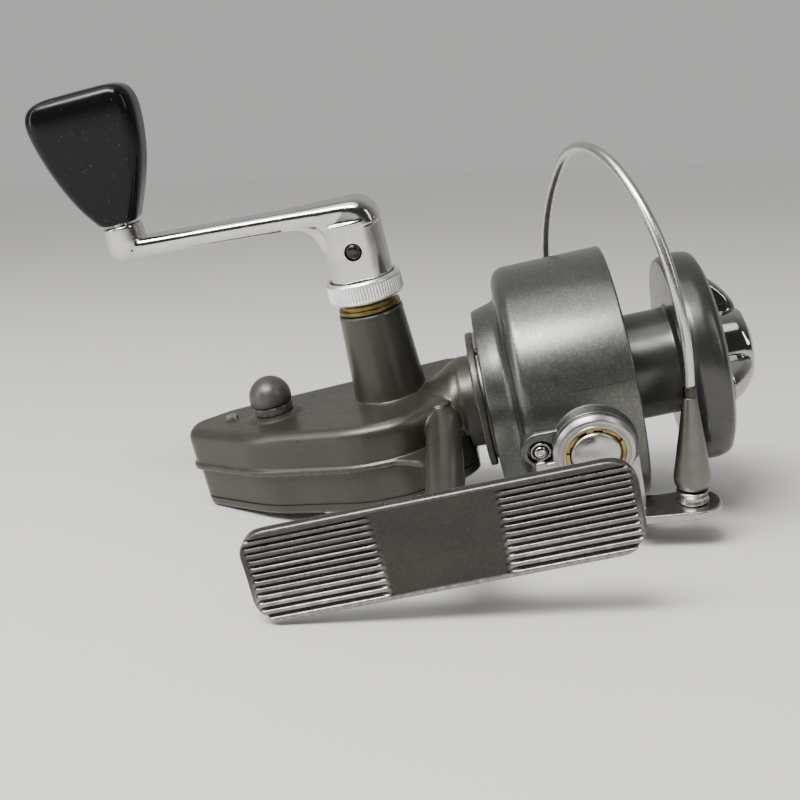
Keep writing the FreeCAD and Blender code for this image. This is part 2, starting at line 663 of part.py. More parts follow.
def line_guide():
    """Tapered steel guide between the roller and the bail wire."""
    axis = (cone_tip - cone_foot).normalize()
    length = (cone_tip - cone_foot).Length
    profile = [(0, 0), (2.3, 0), (3.15, 0.7), (3.5, 2.2), (1.3, length - 2.2), (0, length - 2.2)]
    cone = turned_z(0, 0, profile)
    post = cyl_z(0, 0, -4.35, 0.1, 1.25)
    cone = cone.fuse(post)
    sleeve = turned_z(0, 0, [(0, length - 2.2), (1.3, length - 2.2), (1.2, length), (0, length)])
    screw = turned_z(0, 0, [(0, -6.0), (1.8, -6.0), (2.6, -5.4), (2.6, -4.4), (0, -4.4)])
    placed = []
    for shape in (cone, sleeve, screw):
        copy = shape.copy()
        copy.Placement = FreeCAD.Placement(cone_foot, FreeCAD.Rotation(V(0, 0, 1), axis))
        placed.append(copy)
    return placed


def line_roller():
    axis = (cone_tip - cone_foot).normalize()
    roller = turned_z(0, 0, [(1.32, -2.6), (2.9, -2.6), (3.1, -2.3), (2.6, -1.3), (3.1, -0.3),
                             (2.9, -0.08), (1.32, -0.08)])
    roller.Placement = FreeCAD.Placement(cone_foot, FreeCAD.Rotation(V(0, 0, 1), axis))
    return roller


def bail_wire():
    """One round wire from the guide's tip over the spool to the far eye."""
    axis = (cone_tip - cone_foot).normalize()
    points = [cone_tip, V(9.3, -26.3, 12.0), V(9.1, -25.6, 20.5), V(8.2, -22.8, 29.5),
              V(6.0, -17.0, 38.2), V(3.2, -10.0, 44.0), V(0.3, -2.6, 46.2), V(-2.6, 5.6, 44.6),
              V(-5.6, 13.6, 38.2), V(-8.3, 20.6, 28.6), V(-9.8, 25.2, 18.0), V(-10.0, 27.0, 8.6)]
    curve = Part.BSplineCurve()
    curve.interpolate(points, InitialTangent=axis, FinalTangent=V(0, 0.1, -0.99))
    path = Part.Wire([curve.toShape()])
    circle = Part.Wire([Part.makeCircle(1.0, cone_tip, axis)])
    wire = path.makePipeShell([circle], True, True)
    eye = ring_z(0, 0, 27.1, 28.4, 4.0, 2.05)
    neck = prism([(-1.5, -3.5), (1.5, -3.5), (1.1, -5.6), (-1.1, -5.6)], 27.1, 28.3)
    return join([wire, far_side(eye), far_side(neck)])


def trip_pin():
    pin = cyl_x(-26.6, -17.4, 0.95, 0.0, 13.4)
    head = cyl_x(-19.4, -17.4, 2.0, 0.0, 13.4)
    return pin.fuse(head)


# ---- spool and drag ------------------------------------------------------

def main_shaft():
    shaft = cyl_x(-78.0, 23.0, main_shaft_r)
    return shaft.cut(Part.makeCylinder(0.6, 10, V(-6.0, 0, -5)))


def spool():
    profile = [(-4.6, 1.62), (-4.6, 22.0), (-4.3, 22.3), (-3.0, 22.3), (-2.7, 22.0),
               (-2.4, arbor_r + 0.4), (-2.0, arbor_r), (10.3, arbor_r), (10.7, arbor_r + 0.6),
               (10.4, 20.3), (10.7, 20.8), (12.0, flange_r), (15.5, flange_r), (16.9, 20.8),
               (17.9, 19.9), (18.2, 18.6), (18.2, 13.4), (12.4, 13.4), (12.4, 4.6), (8.6, 4.6),
               (8.6, 1.62)]
    body = turned_x(profile)
    hollow = turned_x([(-5.5, 5.0), (-5.5, 9.2), (8.0, 9.2), (8.0, 5.0)])
    return body.cut(hollow)


def drag_washers():
    washers = []
    for i in range(5):
        x0 = 12.4 + i * 0.6
        washer = turned_x([(x0, 2.0), (x0, 12.8), (x0 + 0.6, 12.8), (x0 + 0.6, 2.0)])
        washers.append(washer)
    friction = [washers[0], washers[2], washers[4]]
    metal = [washers[1], washers[3]]
    return friction, metal


def drag_retainer():
    ring = Part.makeTorus(12.9, 0.45, V(15.95, 0, 0), V(1, 0, 0))
    return ring.cut(box(10, 20, -1.2, 1.2, 0, 20))


def drag_knob():
    """Three-winged knob: round hub with a nut seat and tapering finger wings."""
    hub = turned_x([(18.5, 1.8), (18.5, 8.2), (23.6, 7.8), (24.9, 7.3), (24.9, 6.6), (24.2, 6.6), (24.2, 1.8)])
    skirt = turned_x([(16.9, 4.6), (16.9, 5.6), (18.6, 5.6), (18.6, 4.6)])
    dome = turned_x([(18.5, 6.0), (18.5, 15.3), (19.2, 15.5), (21.4, 13.2), (23.0, 11.0), (24.2, 8.6),
                     (24.2, 7.0), (22.0, 6.0)])
    body = hub.fuse(skirt)
    for angle in (75, 195, 315):
        wing = box(18.0, 26.0, 6.0, 18.0, -3.0, 3.0)
        wing.rotate(V(0, 0, 0), V(1, 0, 0), angle)
        body = body.fuse(dome.common(wing))
    return body.removeSplitter()


def drag_spring():
    """Three dished spring washers, turned to face each other in turn."""
    washers = []
    for x, rise in ((15.75, 0.3), (16.88, -0.3), (17.4, 0.3)):
        washers.append(turned_x([(x, 2.0), (x + 0.45, 2.0), (x + 0.45 + rise, 4.2), (x + rise, 4.2)]))
    return washers


def write_all():
    save("main_housing", main_housing())
    save("side_cover", side_cover())
    save("cover_screws", cover_screws())
    outer_race, inner_race, balls = ball_bearing()
    save("bearing_outer_race", outer_race)
    save("bearing_inner_race", inner_race)
    save("bearing_balls", balls)
    plate, plate_screws = bearing_plate()
    save("bearing_plate", plate)
    save("bearing_plate_screws", plate_screws)
    save("trip_ramp", trip_ramp())
    save("tower_bush", ring_z(handle_x, handle_y, 5.2, tower_top - 0.2, 4.2, 3.05))
    save("cover_bush", ring_z(handle_x, handle_y, -9.6, -7.8, 3.0, 1.95))
    save("rear_shaft_bush", cyl_x(-77.2, -72.2, 2.3).cut(cyl_x(-80, -70, 1.56)))
    save("guide_rod", cyl_x(-77.0, -56.5, 1.0, 9.7, 0.0))
    save("oscillation_post", cyl_z(cross_x, handle_y, floor_z, -5.0, 1.8))
    save("pawl_pin", cyl_z(-62.5, 6.2, 1.95, ceiling_z, 0.85))
    save("indicator_peg", box(-84.3, -81.8, 5.9, 7.9, top_z, top_z + 0.9))
    save("tower_washer", tower_washer())
    save("drive_gear", face_gear())
    save("drive_shaft", drive_shaft())
    save("ratchet_wheel", ratchet_wheel())
    save("crank_pin", crank_pin())
    save("lock_ring", lock_ring())
    save("crank_arm", crank_arm())
    save("handle_knob", handle_knob())
    save("oscillation_gear", oscillation_gear())
    save("crosswind_block", crosswind_block())
    save("anti_reverse_pawl", pawl())
    save("anti_reverse_knob", ratchet_knob())
    save("rotor_cup", rotor_cup())
    save("pinion", pinion())
    save("rotor_nut", rotor_nut())
    near_screw, far_screw, anchor = pivot_screws()
    save("near_pivot_screw", near_screw)
    save("far_pivot_screw", far_screw)
    save("spring_anchor_screw", anchor)
    save("bail_spring", bail_spring())
    save("bail_pivot_bush", bail_bush())
    save("bail_arm", bail_arm())
    cone, sleeve, screw = line_guide()
    save("line_guide_cone", cone)
    save("guide_sleeve", sleeve)
    save("roller_screw", screw)
    save("line_roller", line_roller())
    save("bail_wire", bail_wire())
    save("trip_pin", trip_pin())
    save("main_shaft", main_shaft())
    save("spool_cross_pin", Part.makeCylinder(0.6, 8, V(-6.0, 0, -4)))
    save("spool_seat_washer", cyl_x(-5.3, -4.75, 4.6).cut(cyl_x(-8, 0, main_shaft_r)))
    save("spool", spool())
    friction, metal = drag_washers()
    save("drag_friction_washers", friction)
    save("drag_metal_washers", metal)
    save("drag_retainer", drag_retainer())
    save("drag_knob", drag_knob())
    save("drag_spring", drag_spring())
    save("drag_cap", turned_x([(24.2, 0), (24.2, 6.5), (24.9, 6.5), (25.6, 5.0), (26.0, 2.6), (26.1, 0)]))
    save("drag_nut", cyl_x(18.6, 22.6, 1.8).cut(cyl_x(18, 24, main_shaft_r + 0.05)))


write_all()
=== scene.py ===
import json
import math

import bmesh
import bpy
import numpy
from mathutils import Matrix, Vector


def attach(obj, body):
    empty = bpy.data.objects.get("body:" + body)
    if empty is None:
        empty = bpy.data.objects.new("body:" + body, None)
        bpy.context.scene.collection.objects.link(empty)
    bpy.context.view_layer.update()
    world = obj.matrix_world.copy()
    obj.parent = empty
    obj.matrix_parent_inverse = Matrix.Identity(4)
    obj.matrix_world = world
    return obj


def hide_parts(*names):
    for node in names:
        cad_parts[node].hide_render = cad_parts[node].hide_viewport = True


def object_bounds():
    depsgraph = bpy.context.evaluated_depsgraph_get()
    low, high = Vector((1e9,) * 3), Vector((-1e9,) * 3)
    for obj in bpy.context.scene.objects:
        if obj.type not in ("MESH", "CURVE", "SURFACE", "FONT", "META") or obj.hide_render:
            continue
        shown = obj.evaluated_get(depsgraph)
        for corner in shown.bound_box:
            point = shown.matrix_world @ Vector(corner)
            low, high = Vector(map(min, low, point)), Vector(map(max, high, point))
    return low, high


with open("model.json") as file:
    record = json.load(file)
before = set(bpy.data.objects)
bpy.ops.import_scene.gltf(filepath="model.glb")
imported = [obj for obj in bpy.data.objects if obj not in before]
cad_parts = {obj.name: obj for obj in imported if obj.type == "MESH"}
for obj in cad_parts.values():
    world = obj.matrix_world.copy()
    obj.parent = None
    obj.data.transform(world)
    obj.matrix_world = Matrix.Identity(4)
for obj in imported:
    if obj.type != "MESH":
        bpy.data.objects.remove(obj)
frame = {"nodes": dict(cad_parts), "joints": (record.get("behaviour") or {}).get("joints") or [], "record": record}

cad_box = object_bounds()


def turned_about(axis, degrees):
    return Matrix.Rotation(math.radians(degrees), 4, axis)


def moved_to(*place):
    return Matrix.Translation(place)


# Lengths are millimetres about the spool axis: X forward along the spool, Z up along the
# handle shaft, origin at the rotor's front rim. TO_ROW turns them into the frame's metres.
MM = 0.001
joints = {joint["name"]: joint for joint in frame["joints"]}
bail_x = -10.0
ORIGIN = Vector(joints["rotor_spin"]["pos_m"]) - Vector((bail_x * MM, 0, 0))
TO_ROW = Matrix.Translation(ORIGIN) @ Matrix.Scale(MM, 4)

# driving sizes, the same as the model's
handle_x = -47.6
handle_y = 3.6
top_z = 4.7
ceiling_z = 3.5
parting_z = -4.2
bottom_z = -13.8
floor_z = -11.4
wall = 1.9
neck_r = 14.0
neck_front = -28.5
hub_r = 9.5
disc_x = -30.0
tower_top = 23.0
rotor_r = 25.7
rotor_wall = 1.8
flange_r = 21.2
arbor_r = 10.8
foot_length = 64.0
foot_width = 16.5
foot_face = -61.7
foot_x = -38.3
stem_x = -37.4
stem_r = 3.5
pin_z = 36.2
leg_r = 6.4
knob_x = -92.3
bail_tilt = 10.0
anchor_x = -9.8
anchor_y = 1.1
ratchet_x = -73.0
ratchet_y = 4.2
cone_foot = Vector((6.7, -24.6, -17.2))
cone_tip = Vector((8.9, -25.3, 3.5))

# (x, y, radius) of the case's corners, in order round it
case_corners = [
    (-93.3, 5.1, 4.4), (-76.8, -7.6, 30.0), (-55.2, -15.9, 20.0), (-45.1, -15.9, 12.0),
    (-31.0, -5.6, 9.0), (-31.0, 19.5, 4.6), (-84.5, 15.1, 12.0), (-93.3, 11.0, 4.4),
]
cover_screw_spots = [(-86.3, 7.8), (-64.0, -9.3), (-37.6, -8.0), (-37.4, 14.6)]

# NEAR and FAR have Z out through the bail's two pivots, GUIDE along the line guide,
# ON_HANDLE up the handle shaft and ALONG_X forward along the spool.
NEAR = moved_to(bail_x, 0, 0) @ turned_about("X", 90 + bail_tilt)
FAR = moved_to(bail_x, 0, 0) @ turned_about("X", bail_tilt - 90)
guide_axis = (cone_tip - cone_foot).normalized()
guide_length = (cone_tip - cone_foot).length
GUIDE = moved_to(*cone_foot) @ Vector((0, 0, 1)).rotation_difference(guide_axis).to_matrix().to_4x4()
ON_HANDLE = moved_to(handle_x, handle_y, 0)
ALONG_X = turned_about("Y", 90)

# The floor's upward direction. piece() notes how low each piece reaches along it.
floor_normal = Vector((0.191, 0.139, 0.972)).normalized()
lowest_points = []

slots = {part["node"]: part["material_slot"] for part in frame["record"]["subparts"]}


# ---- materials ------------------------------------------------------------

class Finish:
    """One procedural material: its node tree and a few short ways to add nodes to it."""

    def __init__(self, name, colour, roughness, metallic, **sockets):
        self.material = bpy.data.materials.new(name)
        self.material.use_nodes = True
        self.tree = self.material.node_tree
        self.shader = self.tree.nodes["Principled BSDF"]
        self.place = self.node("ShaderNodeTexCoord").outputs["Object"]
        self.surface((*colour, 1.0), roughness)
        self.set(self.shader, "Metallic", metallic)
        for key, value in sockets.items():
            self.set(self.shader, key.replace("_", " "), value)

    def set(self, node, key, value):
        if isinstance(value, bpy.types.NodeSocket):
            self.tree.links.new(value, node.inputs[key])
        else:
            node.inputs[key].default_value = value

    def surface(self, colour, roughness):
        self.set(self.shader, "Base Color", colour)
        self.set(self.shader, "Roughness", roughness)

    def node(self, kind, inputs=(), **settings):
        made = self.tree.nodes.new(kind)
        for key, value in settings.items():
            setattr(made, key, value)
        for key, value in dict(inputs).items():
            self.set(made, key, value)
        return made

    def noise(self, per_mm, detail=3.0, stretch=(1, 1, 1), distortion=0.0):
        """Soft noise from 0 to 1; stretch under 1 draws it out along that axis."""
        scaled = self.node("ShaderNodeMapping", {"Vector": self.place, "Scale": stretch})
        noise = self.node("ShaderNodeTexNoise", {
            "Vector": scaled.outputs[0], "Scale": per_mm / MM, "Detail": detail, "Distortion": distortion})
        return noise.outputs["Fac"]

    def grains(self, per_mm):
        """A random value from 0 to 1 for each small cell."""
        cells = self.node("ShaderNodeTexVoronoi", {"Vector": self.place, "Scale": per_mm / MM})
        return self.node("ShaderNodeSeparateColor", {"Color": cells.outputs["Color"]}).outputs["Red"]

    def band(self, value, low, high, out_low=0.0, out_high=1.0):
        """value from low to high becomes out_low to out_high, and stays inside them."""
        ranged = self.node("ShaderNodeMapRange", {
            "Value": value, "From Min": low, "From Max": high, "To Min": out_low, "To Max": out_high})
        return ranged.outputs[0]

    def maths(self, operation, first, second):
        return self.node("ShaderNodeMath", {0: first, 1: second}, operation=operation).outputs[0]

    def mix(self, factor, first, second):
        """Colour that goes from first to second as factor goes from 0 to 1."""
        mixed = self.node("ShaderNodeMix", {"Factor": factor}, data_type="RGBA")
        for key, value in ((6, first), (7, second)):
            self.set(mixed, key, value if isinstance(value, bpy.types.NodeSocket) else (*value, 1.0))
        return mixed.outputs[2]

    def bump(self, height, depth_mm, strength=1.0):
        """Small relief; a second call adds to the first."""
        made = self.node("ShaderNodeBump", {
            "Height": height, "Strength": strength, "Distance": depth_mm * MM})
        links = self.shader.inputs["Normal"].links
        if links:
            self.set(made, "Normal", links[0].from_socket)
        self.set(self.shader, "Normal", made.outputs[0])

    def scratches(self, per_mm, stretch, low=0.62, high=0.7):
        """Sparse thin lines, 1 on a line and 0 off it."""
        return self.band(self.noise(per_mm, 2.0, stretch, 0.3), low, high)

    def rub(self, per_mm, low, high, out_low=0.0, out_high=1.0):
        """How far the surface is rubbed: the wear stored on the mesh, which on the foot also holds a painted
        highlight, broken up by noise.
        """
        worn = self.node("ShaderNodeAttribute", attribute_name="wear").outputs["Fac"]
        patchy = self.band(self.noise(per_mm, 4.0), low, high, out_low, out_high)
        return self.maths("MULTIPLY", worn, patchy)


def shade(colour, factor):
    return tuple(factor * channel for channel in colour)


def lacquer(name, colour, metal, sparkle, roughness, metallic, mottle=0.14, uneven=0.08,
            rub_range=(0.0, 0.6)):
    """Satin lacquer over cast metal: mottling, fine peel, flecks, dust and bright worn edges."""
    finish = Finish(name, colour, roughness, metallic, Coat_Weight=0.18, Coat_Roughness=0.32)
    cloudy = finish.band(finish.noise(0.12, 4.0), 0.3, 0.7)
    speckle = finish.grains(3.6)
    fleck = finish.maths("MULTIPLY", finish.band(speckle, 0.60, 1.0), sparkle)
    fleck_colour = tuple(min(1.0, 2.6 * channel + 0.05) for channel in colour)
    tone = finish.mix(cloudy, shade(colour, 1 - mottle), shade(colour, 1 + mottle))
    tone = finish.mix(fleck, tone, fleck_colour)
    tone = finish.mix(finish.rub(0.9, 0.40, 0.70, *rub_range), tone, metal)
    rough = finish.band(finish.noise(0.5, 5.0), 0.25, 0.75, roughness - uneven, roughness + uneven)
    finish.surface(tone, rough)
    finish.bump(finish.noise(1.6, 3.0), 0.020, 0.5)
    finish.bump(speckle, 0.006, 0.35)
    return finish.material


def plated(name, colour, roughness, smear, grain):
    """Bright plating: slow ripple, wiping marks, hairline scratches and pin-prick pits."""
    finish = Finish(name, colour, roughness, 1.0)
    smudge = finish.noise(0.16, 4.0, distortion=0.6)
    hair = finish.scratches(2.4, (0.08, 1.0, 1.0))
    cross_hair = finish.scratches(2.0, (1.0, 1.0, 0.07), 0.64, 0.72)
    lines = finish.maths("MAXIMUM", hair, cross_hair)
    rough = finish.band(smudge, 0.35, 0.75, roughness, roughness + smear)
    rough = finish.maths("ADD", rough, finish.maths("MULTIPLY", lines, 0.10))
    dull = finish.band(smudge, 0.45, 0.85)
    finish.surface(finish.mix(dull, colour, shade(colour, 0.72)), rough)
    finish.bump(lines, 0.004, grain)
    finish.bump(finish.noise(0.22, 2.0), 0.05, 0.25)
    pits = finish.band(finish.noise(3.0, 2.0), 0.70, 0.78)
    finish.bump(pits, 0.01, -0.3)
    return finish.material


def brushed(name, colour, roughness, stretch, depth, stain):
    """Machined or brushed metal with its grain along one direction, spots and stains."""
    finish = Finish(name, colour, roughness, 1.0)
    grain = finish.noise(9.0, 3.0, stretch)
    patches = finish.band(finish.noise(0.35, 5.0), 0.42, 0.8)
    rough = finish.band(grain, 0.3, 0.7, roughness - 0.08, roughness + 0.12)
    finish.surface(finish.mix(patches, colour, stain), rough)
    finish.bump(grain, depth, 0.6)
    finish.bump(finish.band(finish.noise(2.2, 3.0), 0.62, 0.75), 0.01, -0.4)
    return finish.material


def gloss_black(name, colour, roughness):
    """Polished black with faint swirl marks, dust and a little edge rub."""
    finish = Finish(name, colour, roughness, 0.0, Coat_Weight=0.08, Coat_Roughness=0.03, IOR=1.25)
    haze = finish.noise(0.15, 5.0, distortion=1.0)
    dust = finish.maths("MULTIPLY", finish.band(finish.grains(3.5), 0.98, 1.0), 0.25)
    tone = finish.mix(dust, colour, (0.10, 0.10, 0.09))
    tone = finish.mix(finish.rub(1.2, 0.45, 0.7), tone, (0.05, 0.05, 0.05))
    finish.surface(tone, finish.band(haze, 0.35, 0.8, roughness, roughness + 0.18))
    finish.bump(finish.scratches(1.7, (1.0, 0.1, 1.0), 0.63, 0.72), 0.003, 0.35)
    finish.bump(finish.noise(0.10, 2.0), 0.06, 0.2)
    return finish.material


def felt(name, colour):
    """Oiled felt: fibres and matted patches."""
    finish = Finish(name, colour, 0.9, 0.0, Sheen_Weight=0.3)
    fibre = finish.noise(6.0, 5.0, distortion=1.5)
    tone = finish.mix(fibre, shade(colour, 0.5), colour)
    finish.surface(tone, finish.band(fibre, 0.2, 0.8, 0.75, 0.98))
    finish.bump(fibre, 0.06, 0.8)
    return finish.material


bare = (0.42, 0.41, 0.38)
straw = (0.10, 0.07, 0.03)

# one recipe for each of the record's slots: the kind of finish, then its settings
slot_recipes = {
    "olive_lacquer": (lacquer, (0.040, 0.0385, 0.0295), bare, 0.07, 0.34, 0.45),
    "rotor_lacquer": (lacquer, (0.100, 0.102, 0.093), bare, 0.22, 0.30, 0.85, 0.05, 0.035),
    "spool_lacquer": (lacquer, (0.066, 0.066, 0.062), bare, 0.06, 0.26, 0.75, 0.06, 0.03),
    "dark_button": (lacquer, (0.050, 0.048, 0.042), bare, 0.05, 0.42, 0.30),
    "chrome": (plated, (0.60, 0.59, 0.57), 0.07, 0.10, 0.6),
    "knurled_aluminium": (brushed, (0.96, 0.96, 0.95), 0.34, (1, 1, 0.1), 0.006, (0.74, 0.73, 0.71)),
    "brass": (brushed, (0.46, 0.34, 0.12), 0.32, (1, 1, 0.1), 0.010, straw),
    "blued_steel": (brushed, (0.045, 0.043, 0.042), 0.26, (0.2, 1, 0.2), 0.008, (0.09, 0.075, 0.06)),
    "satin_steel": (brushed, (0.44, 0.43, 0.40), 0.28, (1, 1, 0.12), 0.008, (0.30, 0.28, 0.25)),
    "bare_steel": (brushed, (0.44, 0.44, 0.43), 0.28, (1, 0.15, 0.15), 0.008, (0.28, 0.26, 0.23)),
    "cast_zinc": (brushed, (0.36, 0.36, 0.37), 0.48, (1, 1, 1), 0.030, (0.22, 0.22, 0.22)),
    "gloss_black": (gloss_black, (0.004, 0.004, 0.0045), 0.11),
    "felt": (felt, (0.25, 0.22, 0.18)),
}

# finishes that belong to one or a few pieces
piece_recipes = {
    # The foot's wide rub range also shows the painted highlight on its lower ribs.
    "foot_lacquer": (lacquer, (0.034, 0.032, 0.029), bare, 0.12, 0.30, 0.80, 0.14, 0.08, (0.45, 0.9)),
    "worn_chrome": (plated, (0.46, 0.45, 0.43), 0.22, 0.20, 2.0),
    "dark_chrome": (plated, (0.44, 0.435, 0.42), 0.05, 0.06, 0.3),
    "satin_chrome": (plated, (0.42, 0.41, 0.395), 0.26, 0.12, 0.9),
    "wire_steel": (brushed, (0.62, 0.61, 0.58), 0.24, (1, 1, 1), 0.003, (0.50, 0.49, 0.46)),
    "old_brass": (brushed, (0.21, 0.155, 0.055), 0.36, (1, 1, 0.1), 0.010, straw),
    "guide_steel": (brushed, (0.18, 0.173, 0.16), 0.36, (1, 1, 0.12), 0.010, (0.15, 0.14, 0.125)),
}


def make_finishes(recipes):
    return {name: kind(name, *settings) for name, (kind, *settings) in recipes.items()}


def dress_nodes():
    """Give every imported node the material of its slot, and the neck's bearing plate a darker one."""
    for name, node in frame["nodes"].items():
        node.data.materials.clear()
        dark = name in ("bearing_plate", "bearing_plate_screws")
        node.data.materials.append(variants["guide_steel"] if dark else materials[slots[name]])


materials = make_finishes(slot_recipes)
variants = make_finishes(piece_recipes)
dress_nodes()


# ---- shapes: a shape is a list of points and a list of faces ------------------

def clamp(value):
    return min(1.0, max(0.0, value))


def arc(centre, radius, start, turn, steps):
    """Points on an arc from start degrees through turn degrees, both its ends included."""
    angles = [math.radians(start + turn * step / steps) for step in range(steps + 1)]
    return [Vector((centre[0] + radius * math.cos(angle), centre[1] + radius * math.sin(angle)))
            for angle in angles]


def outline_of(*corners):
    return [Vector(corner) for corner in corners]


def eased(corners, steps=5):
    """Closed or open outline through (a, b, ease) corners, each rounded over that length."""
    count = len(corners)
    outline = []
    for i, (a, b, ease) in enumerate(corners):
        here = Vector((a, b))
        before = Vector(corners[i - 1][:2]) - here
        after = Vector(corners[(i + 1) % count][:2]) - here
        reach = min(ease, 0.48 * before.length, 0.48 * after.length)
        if reach < 1e-4:
            outline.append(here)
            continue
        start = here + before.normalized() * reach
        end = here + after.normalized() * reach
        for step in range(steps + 1):
            t = step / steps
            outline.append(start * (1 - t) ** 2 + here * (2 * t * (1 - t)) + end * t ** 2)
    return outline


def merge(*shapes):
    """All the shapes as one."""
    points = []
    faces = []
    for some_points, some_faces in shapes:
        start = len(points)
        points.extend(some_points)
        faces.extend(tuple(start + index for index in face) for face in some_faces)
    return points, faces


def placed(matrix, shape):
    return [matrix @ Vector(point) for point in shape[0]], shape[1]


def circle(radius, height, turns):
    """Level ring of points round the Z axis."""
    angles = [2 * math.pi * i / turns for i in range(turns)]
    return [Vector((radius * math.cos(angle), radius * math.sin(angle), height)) for angle in angles]


def skin(rings, loop=False):
    """Join closed rings of equally many points; the first and last are capped unless it loops."""
    count = len(rings[0])
    points = [point for ring in rings for point in ring]
    faces = []
    pairs = [(i, i + 1) for i in range(len(rings) - 1)]
    if loop:
        pairs.append((len(rings) - 1, 0))
    else:
        faces.append(tuple(reversed(range(count))))
        faces.append(tuple(range((len(rings) - 1) * count, len(rings) * count)))
    for low, high in pairs:
        for i in range(count):
            j = (i + 1) % count
            faces.append((low * count + i, low * count + j, high * count + j, high * count + i))
    return points, faces


def lathe(outline, turns=96, ring=False):
    """Turn a (radius, height) outline about Z: from pole to pole, or a closed loop for a ring."""
    points = []
    rows = []
    for radius, height in outline:
        start = len(points)
        points.extend([Vector((0, 0, height))] if radius < 1e-4 else circle(radius, height, turns))
        rows.append(list(range(start, len(points))))
    faces = []
    for low, high in zip(rows, rows[1:] + (rows[:1] if ring else [])):
        for i in range(turns):
            j = (i + 1) % turns
            if len(low) == 1 and len(high) > 1:
                faces.append((low[0], high[j], high[i]))
            elif len(high) == 1 and len(low) > 1:
                faces.append((low[i], low[j], high[0]))
            elif len(low) > 1:
                faces.append((low[i], low[j], high[j], high[i]))
    return points, faces


def turned(corners, turns=96, steps=5):
    """Solid turned from (radius, height, ease) corners that start and end on the axis."""
    return lathe(eased(corners, steps), turns)


def turned_ring(corners, turns=96, steps=5):
    """Ring turned from a closed outline of (radius, height, ease) corners."""
    return lathe(eased(corners, steps), turns, ring=True)


def rod(start, end, radius, turns=48):
    """Plain round bar, used for cutting holes and as part of a casting."""
    start = Vector(start)
    along = Vector(end) - start
    flat = turned([(0, 0, 0), (radius, 0, 0), (radius, along.length, 0), (0, along.length, 0)], turns)
    turn = Vector((0, 0, 1)).rotation_difference(along).to_matrix().to_4x4()
    return placed(Matrix.Translation(start) @ turn, flat)


def block(low, high):
    xs, ys, zs = zip(low, high)
    ring = [(xs[0], ys[0]), (xs[1], ys[0]), (xs[1], ys[1]), (xs[0], ys[1])]
    return skin([[Vector((x, y, z)) for x, y in ring] for z in zs])


def plate(outline, low, high, ease=0.0, steps=3):
    """Flat plate from a closed outline, its top and bottom edges rounded over ease."""
    count = len(outline)
    inward = []
    for i in range(count):
        along = outline[(i + 1) % count] - outline[i - 1]
        inward.append(Vector((-along.y, along.x)).normalized())
    area = sum(outline[i - 1].cross(outline[i]) for i in range(count))
    if area < 0:
        inward = [-side for side in inward]
    levels = [(0.0, low), (0.0, high)]
    if ease > 0:
        bend = [math.pi / 2 * step / steps for step in range(steps + 1)]
        levels = [(ease * (1 - math.sin(turn)), low + ease * (1 - math.cos(turn))) for turn in bend]
        levels += [(ease * (1 - math.cos(turn)), high - ease * (1 - math.sin(turn))) for turn in bend]
    rings = []
    for inset, height in levels:
        rings.append([Vector((*(here + side * inset), height)) for here, side in zip(outline, inward)])
    return skin(rings)


def smooth_path(points, steps, start_along, end_along):
    """Points along a smooth curve through the given ones, leaving and arriving along two directions."""
    points = [Vector(point) for point in points]
    tangents = [Vector(start_along)]
    for before, here, after in zip(points, points[1:], points[2:]):
        first = (here - before).length
        second = (after - here).length
        slope = (here - before) / first * second + (after - here) / second * first
        tangents.append(slope / (first + second))
    tangents.append(Vector(end_along))
    path = []
    for i in range(len(points) - 1):
        span = (points[i + 1] - points[i]).length
        for step in range(steps):
            t = step / steps
            leaving = (t ** 3 - 2 * t ** 2 + t) * span * tangents[i]
            arriving = (t ** 3 - t ** 2) * span * tangents[i + 1]
            from_start = (2 * t ** 3 - 3 * t ** 2 + 1) * points[i] + leaving
            path.append(from_start + (3 * t ** 2 - 2 * t ** 3) * points[i + 1] + arriving)
    return path + [points[-1]]


def tube(path, radii, sides, up=(0.3, 0.2, 1)):
    """Round wire along a path, with one radius for each of its points."""
    rings = []
    side = Vector(up)
    for i, here in enumerate(path):
        along = (path[min(i + 1, len(path) - 1)] - path[max(i - 1, 0)]).normalized()
        side = (side - along * side.dot(along)).normalized()
        across = along.cross(side)
        angles = [2 * math.pi * k / sides for k in range(sides)]
        rings.append([here + radii[i] * (side * math.cos(angle) + across * math.sin(angle))
                      for angle in angles])
    return skin(rings)


def rounded_box_ring(centre, half_a, half_b, corner, a_dir, b_dir, steps=6):
    """Rounded rectangle of points round a centre, spanned by two directions."""
    ring = []
    for quarter, (sign_a, sign_b) in enumerate(((1, 1), (-1, 1), (-1, -1), (1, -1))):
        middle = (sign_a * (half_a - corner), sign_b * (half_b - corner))
        for a, b in arc(middle, corner, 90 * quarter, 90, steps):
            ring.append(Vector(centre) + Vector(a_dir) * a + Vector(b_dir) * b)
    return ring


# ---- objects from shapes -------------------------------------------------------

def linked(name, data):
    """A new object in the scene."""
    made = bpy.data.objects.new(name, data)
    bpy.context.scene.collection.objects.link(made)
    return made


def to_mesh(name, shape, matrix=TO_ROW):
    """Mesh of a shape, its faces all turned outward."""
    mesh = bpy.data.meshes.new(name)
    mesh.from_pydata([matrix @ Vector(point) for point in shape[0]], [], shape[1])
    work = bmesh.new()
    work.from_mesh(mesh)
    bmesh.ops.recalc_face_normals(work, faces=work.faces)
    work.to_mesh(mesh)
    work.free()
    return mesh


def combine(blank, operation, shape):
    """Join, cut or trim the blank with a shape; returns the helper object that holds it."""
    step = blank.modifiers.new("boolean", "BOOLEAN")
    step.operation = operation
    step.solver = "MANIFOLD"
    step.object = linked("helper", to_mesh("helper", shape))
    return step.object


def soften(blank, voxel, rounds):
    """Blend the blank into one casting with soft inner and outer corners."""
    remesh = blank.modifiers.new("remesh", "REMESH")
    remesh.mode = "VOXEL"
    remesh.voxel_size = voxel * MM
    smooth = blank.modifiers.new("smooth", "SMOOTH")
    smooth.factor = 0.5
    smooth.iterations = rounds


